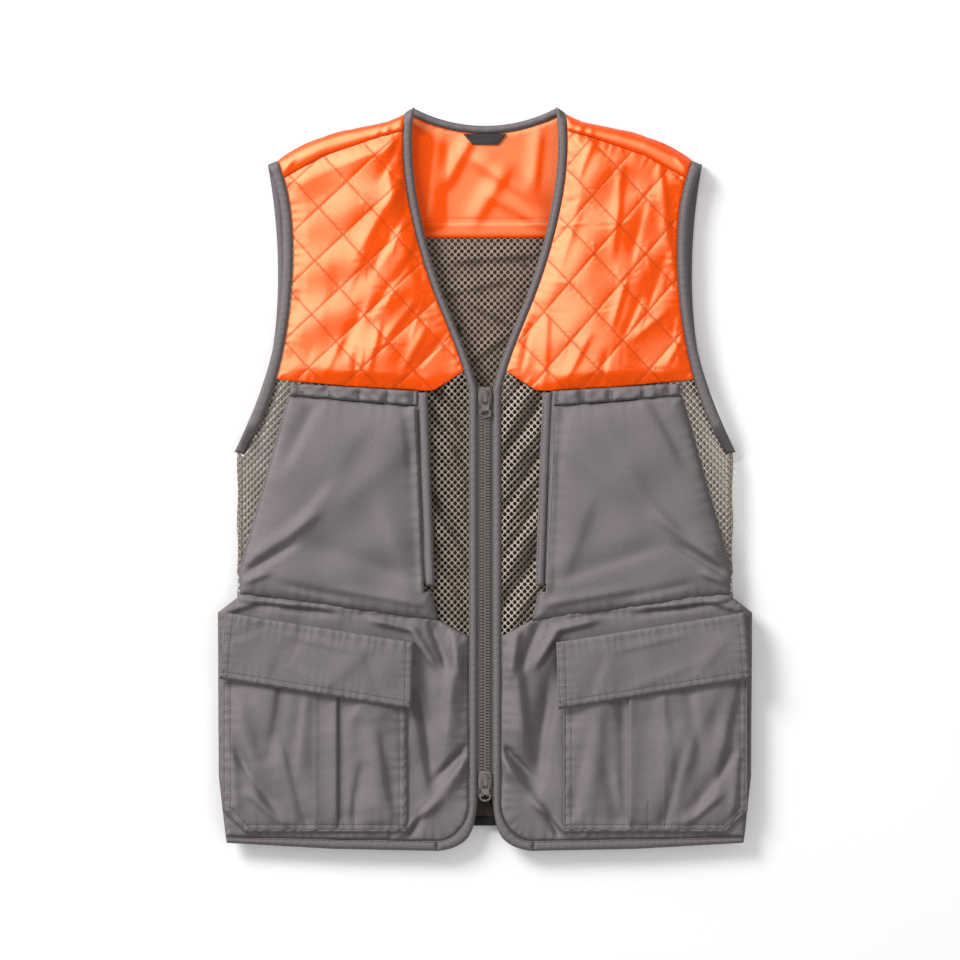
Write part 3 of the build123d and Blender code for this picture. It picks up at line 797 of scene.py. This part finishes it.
def shoulder_panel(side, sx):
    node = f"shoulder_panel_{side}"
    loop = node_loop(node)

    def height(x, y, d, s):
        z = over_the_ridge(x, y, sx, 25.2 + lie(x, y)) + seam_rise(d, 3, 0.6)
        z += fold(x, y, (sx * 96, 350), 75, 16, 3.5, 1.6) + fold(x, y, (sx * 106, 346), 70, 14, 3, 1.2)
        z += fold(x, y, (sx * 195, 312), -sx * 60, 16, 4, 1.5)
        return z + 0.7 * rumple(x, y, 45, 41 + sx) + row_groove(d, 2.0, 0.3)

    piece = cloth(node + "_cloth", loop, height, LINING, step=2.6)
    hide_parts(node)
    row = seam(loop, (sx * 82, 346), (sx * 197, 301), 2.0)
    stitches(f"shoulder_seam_{side}", [row], [piece], ORANGE_THREAD)


def armhole_binding(side, sx):
    node = f"armhole_binding_{side}"
    front, back = node_loop(node), node_loop(node, level=3.0)
    pit_y = 30.0

    def front_height(x, y, d, s):
        level = over_the_ridge(x, y, sx, 25.6, foot=5.0, radius=9.0)
        level = level - 13.0 * smooth((pit_y + 26 - y) / 30)
        return level + tape_height(0, 10, 0.9, (8.2,))(x, y, d, s)

    def back_height(x, y, d, s):
        level = 3.4 + 2.0 * smooth((y - 296) / 14) + 5.5 * smooth((pit_y + 24 - y) / 28)
        return level + 0.7 * arch(d, 10) + row_groove(d, 1.6, 0.3, 0.7)

    over = cloth(node + "_front", front, front_height, BINDING, step=2.0, thick=1.6, roll=1.4)
    under = cloth(node + "_back", back, back_height, BINDING, step=2.4, thick=1.5, roll=1.2)
    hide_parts(node)
    inner = resample(node_loop(f"quilted_yoke_{side}"), 1.5)
    row = seam(inner, (sx * 207, 316), (sx * 208, 100), -1.4)
    stitches(f"armhole_stitches_{side}", [row], [over], GREY_THREAD)


# ---- Bound edges at the front -------------------------------------------------------------------
def front_edge(side, sx):
    node = f"front_edge_binding_{side}"
    loop = node_loop(node)

    def height(x, y, d, s):
        z = over_the_ridge(x, y, sx, 22.6, foot=4.5, radius=10) + lie(x, y) * smooth(np.abs(x) / 40)
        z += 0.9 * arch(d, 9.2)
        z += tape_ripple(s)
        return z + row_groove(d, 1.5, 0.5, 0.6)

    piece = cloth(node + "_tape", loop, height, BINDING, step=1.7, thick=1.8, roll=1.3)
    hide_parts(node)
    zip_side = (sx * 7.2, -318), (sx * 72, 338)
    body_side = (sx * 81.5, 338), (sx * 16.2, -318)
    corner = (sx * 16.2, -318), (sx * 48, -360)
    rows = [seam(loop, *ends, 1.5) for ends in (zip_side, body_side, corner)]
    stitches(f"front_edge_stitches_{side}", rows, [piece], GREY_THREAD)


def hem(side, sx):
    node = f"hem_binding_{side}"
    loop = node_loop(node)
    piece = cloth(node + "_tape", loop, tape_height(22.0, 10, 0.8), BINDING, step=1.9, thick=1.8, roll=1.3)
    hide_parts(node)
    row = seam(loop, (sx * 48, -360), (sx * 257, -356), 1.6)
    stitches(f"hem_stitches_{side}", [row], [piece], GREY_THREAD)


# ---- Nets ---------------------------------------------------------------------------------------
NET_FOLDS = {  # height along the zip, rise and width of each slanting fold
    "left": ((96, -2.6, 7), (74, 2.0, 9), (50, -5.5, 7), (26, 2.6, 10), (-2, -4.0, 5),
             (-20, 1.8, 9), (-48, -3.0, 5), (-66, 2.2, 10), (-96, -5.5, 10), (-128, 2.0, 8)),
    "right": ((92, 1.8, 8), (72, -4.0, 6), (44, -3.2, 5), (22, 2.2, 9), (-10, 1.6, 10),
              (-42, -4.2, 6), (-62, 2.2, 9), (-92, -2.8, 7), (-118, 1.8, 9)),
}


def front_net(side, sx):
    """The chest net, drawn into slanting folds between the zip and the pocket."""
    node = f"front_mesh_{side}"
    loop = node_loop(node)

    def place(u, v, lift):
        x, y = u, v
        ax = sx * x
        shown = smooth((ax - 13) / 9) * smooth((66 - ax) / 12)
        z = 20.6 + 0 * x
        for at_y, tall, wide in NET_FOLDS[side]:
            z = z + shown * fold(ax, y, (38, at_y), 57, 52, 0.8 * wide, 1.5 * tall)
        z += (shown * 0.9 * rumple(ax, y, 22, 51 + sx)
              - 5.0 * smooth((ax - 30) / 18) * smooth((70 - ax) / 14))
        under_arm = smooth((ax - 225) / 22) * smooth((40 - y) / 30)
        return np.c_[x, y, z - 1.5 * under_arm + lift]

    shade = SUNLIT_NET if sx > 0 else NET
    piece = net(node + "_net", loop, place, shade, thick=0.8)
    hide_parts(node)


def side_net(side, sx):
    """The underarm net, which hangs from the front to the back with a slack belly."""
    node = f"side_mesh_{side}"
    low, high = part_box(node)
    outer = max(abs(low.x), abs(high.x)) / MM
    foot, pit = low.y / MM, high.y / MM + 6.5
    loop = np.array([(foot, 0.3), (pit, 0.3), (pit, 20.5), (foot, 20.5)])

    def place(u, v, lift):
        t = np.clip(v / 20.5, 0, 1)
        belly = 1.6 * np.sin(math.pi * t) * (1 + 0.4 * np.sin(u / 9)) - 2.5 * t**3
        return np.c_[sx * (outer - 0.4 + belly + lift), u, v]

    piece = net(node + "_net", loop, place, NET, thick=0.7)
    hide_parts(node)


def back_level(y):
    """The back net's level: on the floor at the chest, and up over the game bag at the waist."""
    return 0.9 + 7.4 * smooth((-85 - y) / 37)


BACK_NET_FOLDS = (((10, 222), 4, 2.4), ((-22, 190), 12, 1.8), ((18, 160), -28, 2.2), ((-6, 125), 35, 1.8))


def back_nets():
    split_y = -120.0

    def place(x, y, lift):
        seen = smooth((y - 85) / 30) * smooth((95 - np.abs(x)) / 30)
        z = back_level(y)
        for at, angle, tall in BACK_NET_FOLDS:
            z = z + seen * fold(x, y, at, angle, 60, 8, 1.7 * tall)
        return np.c_[x, y, z + seen * 0.7 * (1 + rumple(x, y, 24, 61)) + lift]

    full = outline_of_back()
    upper = clip_loop(full, split_y, above=True)
    lower = clip_loop(full, split_y, above=False)
    piece = net("back_net_upper", upper, place, BACK_NET, thick=0)
    net("back_net_lower", lower, place, DARK_NET, thick=0)
    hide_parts("back_mesh")
    # The backing of deep brown: partly a guessed inner layer, partly painted shade in the nets' holes.
    behind = np.array([(170, -341), (170, 246), (-170, 246), (-170, -341)])
    cloth("back_net_backing_and_shade", behind, lambda x, y, d, s: back_level(y) - 0.5, BACKING_AND_PAINTED_SHADE,
          step=8, thick=0.35, roll=0.1)


def outline_of_back():
    """The back mesh's whole outline, from the points of its CAD node on the widest rows."""
    mesh = frame["nodes"]["back_mesh"].data
    co = np.array([v.co[:2] for v in mesh.vertices]) / MM
    rows = {}
    for x, y in co:
        key = round(float(y), 1)
        rows[key] = max(rows.get(key, 0), abs(float(x)))
    wide = sorted((y, x) for y, x in rows.items() if x > 100)
    right = [(x, y) for y, x in wide]
    left = [(-x, y) for y, x in reversed(wide)]
    return np.array(right + left)


def clip_loop(loop, y, above):
    """The part of a loop on one side of a level line."""
    sign = 1 if above else -1
    out = []
    for a, b in zip(loop, np.roll(loop, -1, 0)):
        if sign * (a[1] - y) >= 0:
            out.append(a)
        if (a[1] - y) * (b[1] - y) < 0:
            t = (y - a[1]) / (b[1] - a[1])
            out.append(a + t * (b - a))
    return np.array(out)


# ---- Grey chest ---------------------------------------------------------------------------------
CHEST_FOLDS = (
    ((180, 52), -62, 60, 10, -1.6), ((96, 20), -40, 90, 26, 1.6), ((205, -62), -35, 60, 9, 2.0),
    ((120, -84), 18, 80, 12, -1.4), ((214, -80), -30, 40, 6, -2.0), ((150, 10), -58, 90, 22, 1.5),
    ((180, -30), -50, 60, 12, -1.4), ((90, -60), 70, 60, 14, 1.2), ((232, -100), -20, 26, 5, 1.6),
    ((100, -118), 10, 60, 5, 1.0), ((170, -112), 12, 50, 5, -1.0), ((76, 40), 82, 50, 8, -0.9),
)


def chest_panel(side, sx):
    """The chest pocket: a flat twill bag, open along its zip side over the welt."""
    node = f"chest_pocket_{side}"
    loop = node_loop(node)
    loop[:, 1] -= 4.5 * smooth((-98 - loop[:, 1]) / 10)
    mouth = np.array(flipped([(68, 72), (60.5, -108)], sx))

    def height(x, y, d, s):
        ax = sx * x
        to_mouth, _ = edge_distance(np.c_[x, y], mouth, closed=False)
        z = 28.2 + lie(x, y) - 4.9 * np.exp(-d / 9) * smooth(to_mouth / 12)
        z -= 1.0 * np.exp(-to_mouth / 5)
        z += 1.5 * folds(ax, y, CHEST_FOLDS) * smooth((d + 2) / 14)
        z += 0.8 * rumple(x, y, 60, 71 + sx)
        z += puckers(s, d, 14, 0.4, 9)
        return (z + row_groove(d, 2.0, 0.4, 0.7) * smooth((y + 100) / 6)
                + row_groove(to_mouth, 7.0, 0.35, 0.7))

    piece = cloth(node + "_cloth", loop, height, GREY, step=2.8, thick=1.3)
    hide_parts(node)
    rows = [
        seam(loop, (sx * 60.5, -133), (sx * 68, 72), 2.0),
        seam(loop, (sx * 196, 83), (sx * 245, -92), 2.0),
        seam(loop, (sx * 243.6, -115.5), (sx * 60.5, -139), 1.5),
    ]
    stitches(f"chest_stitches_{side}", rows, [piece], GREY_THREAD)


def welt(side, sx):
    """The narrow facing beside the pocket's mouth."""
    node = f"entry_welt_{side}"
    loop = node_loop(node)

    def height(x, y, d, s):
        return 24.2 + 0.5 * lie(x, y) + 0.5 * arch(d, 9) + row_groove(d, 1.8, 0.3)

    piece = cloth(node + "_cloth", loop, height, GREY, step=2.2, thick=1.3)
    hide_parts(node)
    lining = np.array(flipped([(58, 86), (70, 86), (62, -104), (52, -104)], sx))
    cloth(f"pocket_lining_{side}", lining, lambda x, y, d, s: 22.8 + 0 * x, GREY,
          step=4, thick=0.6, roll=0.2)
    row = seam(loop, (sx * 57, 86), (sx * 50, -106), 1.8)
    stitches(f"welt_stitches_{side}", [row], [piece], GREY_THREAD)


TACKS = (72.0, 98.0, 126.0, 155.0, 182.0)


def loop_tape(side, sx):
    """The shell-loop tape: raised between its bar tacks, gathered at them."""
    node = f"loop_tape_{side}"
    loop = node_loop(node)

    def height(x, y, d, s):
        ax = sx * x
        to_tack = np.min([np.abs(ax - t) for t in TACKS], axis=0)
        z = 24.3 + 1.9 * smooth(to_tack / 8) + lie(x, y)
        z += 0.7 * np.sin(ax / 2.1 + y / 9) * np.exp(-to_tack / 6)
        return z + 0.6 * rumple(x, y, 13, 81 + sx) - 0.6 * np.exp(-d / 2.0)

    piece = cloth(node + "_cloth", loop, height, GREY, step=1.8, thick=1.2)
    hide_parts(node)
    tacks = [[(sx * t + o, 76.5), (sx * t + o, 88)] for t in TACKS for o in (-0.6, 0.6)]
    foot = [(sx * 69, 74.2), (sx * 192, 84.6)]
    stitches(f"loop_tape_tacks_{side}", [*tacks, foot], [piece], GREY_THREAD)


# ---- Lower front --------------------------------------------------------------------------------
LOWER_FOLDS = (
    ((38, -302), 131, 60, 8, 3.2), ((54, -320), 128, 46, 7, -2.6), ((27, -276), 134, 44, 7, -2.4),
    ((66, -336), 138, 34, 5, 2.2), ((70, -346), 118, 20, 4, -1.5), ((58, -250), 84, 80, 10, -2.4),
    ((34, -215), 96, 70, 11, 2.6), ((72, -205), 76, 60, 8, -1.8), ((62, -168), 58, 30, 5, 1.8),
    ((46, -166), 68, 36, 6, -1.8), ((30, -170), 80, 40, 6, 1.2), ((160, -128), 7, 60, 4, 1.7),
    ((120, -134), 9, 50, 4, -1.4), ((215, -123), 8, 50, 4, 1.7), ((190, -130), 8, 50, 4, -1.4),
    ((240, -127), -16, 24, 4, 1.2), ((90, -146), 14, 30, 5, 1.6), ((100, -356), 90, 12, 4, 1.0),
)


def lower_front(side, sx):
    node = f"lower_front_{side}"
    loop = node_loop(node)

    def height(x, y, d, s):
        ax = sx * x
        z = 22.6 + lie(x, y) + 0.8 * rumple(x, y, 55, 91 + sx) + 0.12 * rumple(x, y, 16, 95 + sx)
        z += 2.2 * folds(ax, y, LOWER_FOLDS) * smooth((d + 1) / 9)
        z += puckers(s, d, 11, 0.7, 9) - 0.5 * np.exp(-d / 5)
        side_drop = 1.0 - np.sqrt(1 - np.clip((ax - 254) / 12, 0, 0.999) ** 2)
        return z - 4.5 * side_drop * smooth((-112 - y) / 14)

    piece = cloth(node + "_cloth", loop, height, GREY, step=2.8, thick=1.3)
    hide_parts(node)


SIDE_LINE = [(245.6, -112), (246.2, -118.5), (264.6, -133.4), (263.6, -214), (263.4, -295), (257.5, -350)]


def side_fold(side, sx):
    """The lower side: twill that folds from the front down to the game bag, with a slack crease."""
    path = resample(np.array(flipped(SIDE_LINE if sx < 0 else SIDE_LINE[::-1], sx)), 4, closed=False)
    path = shift(path, 0.9)
    heights = np.linspace(1.6, 20.4, 9)
    bow = 1.5 * np.sin(math.pi * (heights - 1.6) / 18.8) * np.cos((heights - 1.6) / 2.6)
    skin = [(b + 0.2, h) for b, h in zip(bow, heights)]
    section = skin + [(b - 0.9, h) for b, h in reversed(list(zip(bow, heights)))]
    piece = ribbon(f"side_fold_{side}", path, section, GREY)


# ---- Cargo pockets ------------------------------------------------------------------------------
FLAP_SEAM = [(70.5, -162.0), (258.0, -132.0)]


def along_flap(x, y, sx):
    """Distance along the flap's seam from its zip end, and how far below the seam."""
    a, b = (np.array(p) for p in FLAP_SEAM)
    way = (b - a) / np.linalg.norm(b - a)
    rel = np.stack([sx * x, y], -1) - a
    return rel @ way, rel @ np.array([way[1], -way[0]])


PLEATS = {"left": (142.5, 161.5, 178.0), "right": (146.5, 130.5, 168.0)}
POCKET_FOLDS = (
    ((112, -250), 84, 90, 15, 1.6), ((200, -270), 66, 100, 20, 2.2), ((228, -300), 56, 60, 9, -2.2),
    ((186, -310), 76, 70, 9, -1.8), ((236, -262), 78, 70, 10, 1.8), ((128, -318), 100, 50, 8, -1.2),
    ((206, -232), 100, 60, 10, -1.6), ((96, -290), 80, 60, 9, -1.3), ((214, -330), 40, 40, 7, 1.6),
    ((118, -216), 120, 40, 8, 1.3), ((250, -300), 84, 60, 6, 1.2), ((180, -250), 96, 60, 9, 1.2),
)


def pleat(t):
    """The pleat's edge lies over the cloth on its zip side."""
    over = 1.8 * bell(t, 9)
    under = -0.8 - 2.2 * bell(t + 5, 6)
    return np.where(t >= 0, over, under * bell(t, 22))


def cargo_pocket(side, sx):
    """The pocket's face, swollen a little and sewn down on three sides over its folded gusset."""
    node = f"cargo_face_{side}"
    loop = node_loop(node)
    sewn = np.array(flipped([(77.5, -150), (77.5, -351), (239, -351), (261, -329), (261, -140)], sx))
    edge_x, tack_x, crease_x = PLEATS[side]

    def height(x, y, d, s):
        ax = sx * x
        to_sewn, along = edge_distance(np.c_[x, y], sewn, closed=False)
        z = 27.2 + 2.6 * smooth(to_sewn / 30) + 0.6 * lie(x, y)
        z += (0.8 * rumple(x, y, 52, 101 + sx) + 1.7 * folds(ax, y, POCKET_FOLDS)) * smooth(to_sewn / 14)
        z += 0.1 * rumple(x, y, 16, 105 + sx)
        z += pleat(ax - edge_x) * smooth((y + 350) / 16)
        z += 0.5 * bell(ax - crease_x, 1.6)
        z -= 0.5 * bell(ax - tack_x, 1.4) * smooth((-300 - y) / 30)
        z += puckers(along, to_sewn, 12, 0.55, 9)
        z += row_groove(to_sewn, 1.8, 0.45, 0.7) + row_groove(to_sewn, 8.0, 0.5, 0.8)
        return 33.8 - np.logaddexp(0, 33.8 - z)

    rows_y = np.arange(-348.0, -160.0, 2.0)
    crisp = np.vstack([np.c_[np.full(len(rows_y), sx * (edge_x + o)), rows_y] for o in (-0.45, 0.45)])
    piece = cloth(f"cargo_pocket_{side}", loop, height, GREY, step=2.2, thick=1.3, roll=1.2, extra=crisp)
    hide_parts(node, f"cargo_pleat_{side}", f"pocket_loop_patch_{side}")
    rows = [seam(loop, (sx * 77.5, -180), (sx * 261, -160), inset, longer=True) for inset in (1.8, 8.0)]
    tack = [[(sx * tack_x, -350), (sx * tack_x, -318)], [(sx * crease_x, -350), (sx * crease_x, -336)]]
    stitches(f"cargo_stitches_{side}", [*rows, *tack], [piece], GREY_THREAD)


def cargo_gusset(side, sx):
    """The gusset, folded like a bellows between the face and the panel."""
    node = f"cargo_gusset_{side}"
    path = [(78.6, -172), (78.6, -349.6), (238.4, -349.6), (259.8, -328.2), (259.8, -150)]
    path = resample(np.array(flipped(path, sx)), 3.5, closed=False)
    if sx < 0:
        path = path[::-1]
    waves = [(0.3, 22.4), (1.0, 23.6), (-0.6, 24.6), (1.0, 25.8), (0.4, 26.9)]
    section = waves + [(u - 1.6, v) for u, v in reversed(waves)]
    piece = ribbon(node + "_cloth", path, section, GREY)
    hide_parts(node)
    length = np.linalg.norm(np.diff(path, axis=0), axis=1).sum() * MM


FLAP_FOLDS = (
    ((60, -34), -50, 50, 12, 0.9), ((120, -30), -62, 44, 10, -0.9), ((150, -38), 40, 40, 9, 0.8),
    ((90, -16), 4, 50, 5, 0.8), ((34, -40), 60, 34, 8, -0.8), ((170, -20), -30, 34, 7, -0.7),
    ((100, -50), 12, 50, 7, 0.7),
)


def flap(side, sx):
    """The pocket's flap: two layers turned and topstitched, which lifts about its seam."""
    node = f"cargo_flap_{side}"
    loop = node_loop(node)

    def height(x, y, d, s):
        along, below = along_flap(x, y, sx)
        z = 37.3 + 0.6 * np.sin(along / 24 + sx) * smooth(below / 30) + 0.4 * rumple(x, y, 38, 111 + sx)
        z += folds(along, -below, FLAP_FOLDS)
        z += 0.7 * np.exp(-below / 3) - 0.5 * smooth((below - 30) / 36)
        z += row_groove(d, 2.0, 0.4, 0.7) + row_groove(d, 8.0, 0.35, 0.8) * smooth((below - 5) / 5)
        return np.clip(z + puckers(s, d, 9, 0.5, 9), 36.4, 39.0)

    body = f"flap_{side}"
    piece = cloth(node + "_cloth", loop, height, GREY, step=2.2, thick=1.8, roll=1.2, body=body)
    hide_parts(node)
    a, b = (np.array(p) * [sx, 1] for p in FLAP_SEAM)
    three_sides = [seam(loop, a, b, inset, longer=True) for inset in (2.0, 8.0)]
    stitches(f"flap_stitches_{side}", three_sides, [piece], GREY_THREAD, body=body)


def pile(name, node, level, body="vest"):
    """One piece of hook or loop tape, with its curls."""

    def curls(x, y, d, s):
        return level + 0.12 * np.sin(x * 2.4) * np.sin(y * 2.2)

    return cloth(name, node_loop(node), curls, PILE, step=1.6, thick=0.6, roll=0.3, body=body)


def patches(side, sx):
    """The hook patch under the flap and the loop patch on the pocket."""
    hooks = pile(f"flap_hook_pile_{side}", f"flap_hook_patch_{side}", 35.55, f"flap_{side}")
    pile(f"pocket_loop_pile_{side}", f"pocket_loop_patch_{side}", 34.7)
    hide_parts(f"flap_hook_patch_{side}")


def flap_root(side, sx):
    """The flap's sewn edge: a standing fold of twill with the seam along its foot."""
    node = f"flap_root_{side}"
    a, b = (np.array(p) * [sx, 1] for p in FLAP_SEAM)
    line = np.array([a, b] if sx < 0 else [b, a])
    path = shift(resample(line, 4, closed=False), 1.0)
    t = np.linspace(0, 1, len(path))
    path[:, 1] += 0.25 * np.sin(t * 31) + 0.2 * np.sin(t * 57)
    section = [(-1.0, 22.4), (0.9, 22.4), (0.8, 28), (0.9, 33),
               (0.4, 35.0), (-0.4, 35.0), (-0.9, 33), (-0.7, 28)]
    piece = ribbon(node + "_cloth", path, section, GREY)
    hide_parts(node)


# ---- Back layer ---------------------------------------------------------------------------------
LINING_FOLDS = (
    ((20, 300), -34, 60, 16, 2.2), ((34, 268), -28, 50, 12, 1.6), ((-26, 318), 62, 40, 10, 1.5),
    ((6, 284), 58, 44, 12, 1.2), ((-56, 300), 84, 60, 10, -0.8), ((52, 320), 84, 40, 9, 1.0),
)


def back_yoke():
    loop = node_loop("back_yoke")

    def height(x, y, d, s):
        z = 1.9 + 0 * x
        for at, angle, long, wide, tall in LINING_FOLDS:
            z += fold(x, y, at, angle, long, 0.9 * wide, 1.7 * tall) * smooth((80 - np.abs(x)) / 20)
        z += row_groove(y - 241.0, 16.0, 0.7, 1.0)
        z += 0.3 * np.clip(-38 - x, 0, 44) * smooth((x + 112) / 26) * smooth((d - 4) / 14)
        return z + 0.8 * smooth((258 - y) / 3) * smooth((85 - np.abs(x)) / 10)

    piece = cloth("back_yoke_cloth", loop, height, LINING, step=3.2, thick=1.5)
    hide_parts("back_yoke")
    stitches("back_yoke_stitches", [[(-196, 257), (196, 257)]], [piece], ORANGE_THREAD)


def neck():
    loop = node_loop("neck_binding")

    def height(x, y, d, s):
        z = 3.4 + 1.0 * arch(d, 8) + 0.8 * smooth((np.abs(x) - 50) / 25)
        return z + row_groove(d, 1.5, 0.35, 0.6) + 0.15 * np.sin(s / 2.3)

    band = cloth("neck_binding_tape", loop, height, BINDING, step=1.8, thick=2.6, roll=1.4)
    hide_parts("neck_binding")
    row = seam(loop, (-74, 363.5), (74, 363.5), 1.5)
    stitches("neck_stitches", [row], [band], GREY_THREAD)

    def label_height(x, y, d, s):
        return 4.6 + 0.25 * np.sin(x / 7) + 0.4 * smooth((341 - y) / 5) * smooth((12 - np.abs(x)) / 4)

    label = cloth("neck_label_blank", node_loop("neck_label"), label_height, LABEL,
                  step=1.2, thick=0.6, roll=0.4)
    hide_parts("neck_label")


def game_bag():
    loop = node_loop("game_bag_panel", top=False)

    def height(x, y, d, s):
        return 1.5 + 0.5 * (1 + rumple(x, y, 70, 121)) * smooth(d / 20) + row_groove(d, 2.0, 0.3)

    panel = cloth("game_bag_cloth", loop, height, LINING, step=4.5, thick=1.2)
    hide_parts("game_bag_panel")

    def hem_height(x, y, d, s):
        return 9.0 + 0.5 * arch(d, 10) + row_groove(d, 1.6, 0.3)

    hem_loop = node_loop("back_hem_binding")
    band = cloth("back_hem_tape", hem_loop, hem_height, DARK, step=2.4, thick=8.6, roll=1.4)
    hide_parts("back_hem_binding")


# ---- Zip ----------------------------------------------------------------------------------------
def rounded(node, width, material, segments=2):
    """A CAD piece with its own material and slightly rounded edges."""
    piece = frame["nodes"][node]
    piece.data.materials.clear()
    piece.data.materials.append(material)
    weld = piece.modifiers.new("weld", "WELD")
    weld.merge_threshold = 1e-6
    bevel = piece.modifiers.new("bevel", "BEVEL")
    bevel.width = width * MM
    bevel.segments = segments
    bevel.limit_method = "ANGLE"
    bevel.angle_limit = math.radians(40)
    bevel.use_clamp_overlap = True


def zip_pieces():
    def ribs(x, y, d, s):
        return 21.7 + 0.18 * np.sin(y * 2.6) + 0.1 * np.sin(x * 3.1)

    for side in SIDES:
        node = f"zip_tape_{side}"
        loop = node_loop(node)
        tape = cloth(node + "_woven", loop, ribs, TAPE, step=1.1, thick=1.0, roll=0.3)
        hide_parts(node)
        rounded(f"zip_teeth_{side}", 0.42, TEETH)
        rounded(f"zip_pin_{side}", 0.4, TEETH)
        rounded(f"zip_top_stop_{side}", 0.3, METAL)
    for end in ("top", "bottom"):
        rounded(f"zip_slider_{end}", 0.35, METAL, 3)
        rounded(f"zip_pull_{end}", 0.32, METAL, 3)


# ---- Floor, light and camera --------------------------------------------------------------------
def floor():
    n = Nodes("floor")
    shade = n.ramp(n.noise(2.0, 2.0), (0.3, (0.93, 0.93, 0.93)), (0.7, (0.95, 0.95, 0.95)))
    n.finish(shade, 0.9, n.bump(n.noise(300.0), 0.02, 0.0002), Specular_IOR_Level=0.1)
    mesh = bpy.data.meshes.new("floor")
    half = 6.0
    corners = [(-half, -half, 0), (half, -half, 0), (half, half, 0), (-half, half, 0)]
    mesh.from_pydata(corners, [], [(0, 1, 2, 3)])
    made = bpy.data.objects.new("floor", mesh)
    made.data.materials.append(n.material)
    made.location.z = -0.0006
    bpy.context.scene.collection.objects.link(made)


def light(name, at, size, power, colour=(1, 1, 1)):
    lamp = bpy.data.lights.new(name, "AREA")
    lamp.shape = "SQUARE"
    lamp.size = size
    lamp.energy = power
    lamp.color = colour
    made = bpy.data.objects.new(name, lamp)
    made.location = at
    made.rotation_euler = (-Vector(at)).to_track_quat("-Z", "Y").to_euler()
    bpy.context.scene.collection.objects.link(made)


def studio():
    floor()
    light("key", (-1.7, 1.6, 2.0), 1.2, 82.0)
    light("fill", (1.4, -0.6, 2.6), 2.4, 17.0)
    world = bpy.data.worlds.new("studio")
    bpy.context.scene.world = world
    world.use_nodes = True
    world.node_tree.nodes["Background"].inputs["Color"].default_value = (1, 1, 1, 1)
    world.node_tree.nodes["Background"].inputs["Strength"].default_value = 0.53
    bpy.context.scene.view_settings.view_transform = "Standard"
    lens = bpy.data.cameras.new("camera")
    lens.sensor_width = 36
    distance, field = 4.0, 0.96
    lens.lens = 36 * distance / field
    camera = bpy.data.objects.new("camera", lens)
    camera.location = (-0.005, -0.001, distance)
    bpy.context.scene.collection.objects.link(camera)
    bpy.context.scene.camera = camera


def main():
    both_sides = (
        quilted_yoke, shoulder_panel, armhole_binding, front_edge, hem,
        front_net, side_net, chest_panel, welt,
        loop_tape, lower_front, side_fold, cargo_pocket, cargo_gusset, flap_root, flap, patches,
    )
    for side, sx in SIDES.items():
        for build in both_sides:
            build(side, sx)
    back_yoke()
    back_nets()
    neck()
    game_bag()
    zip_pieces()
    studio()


main()
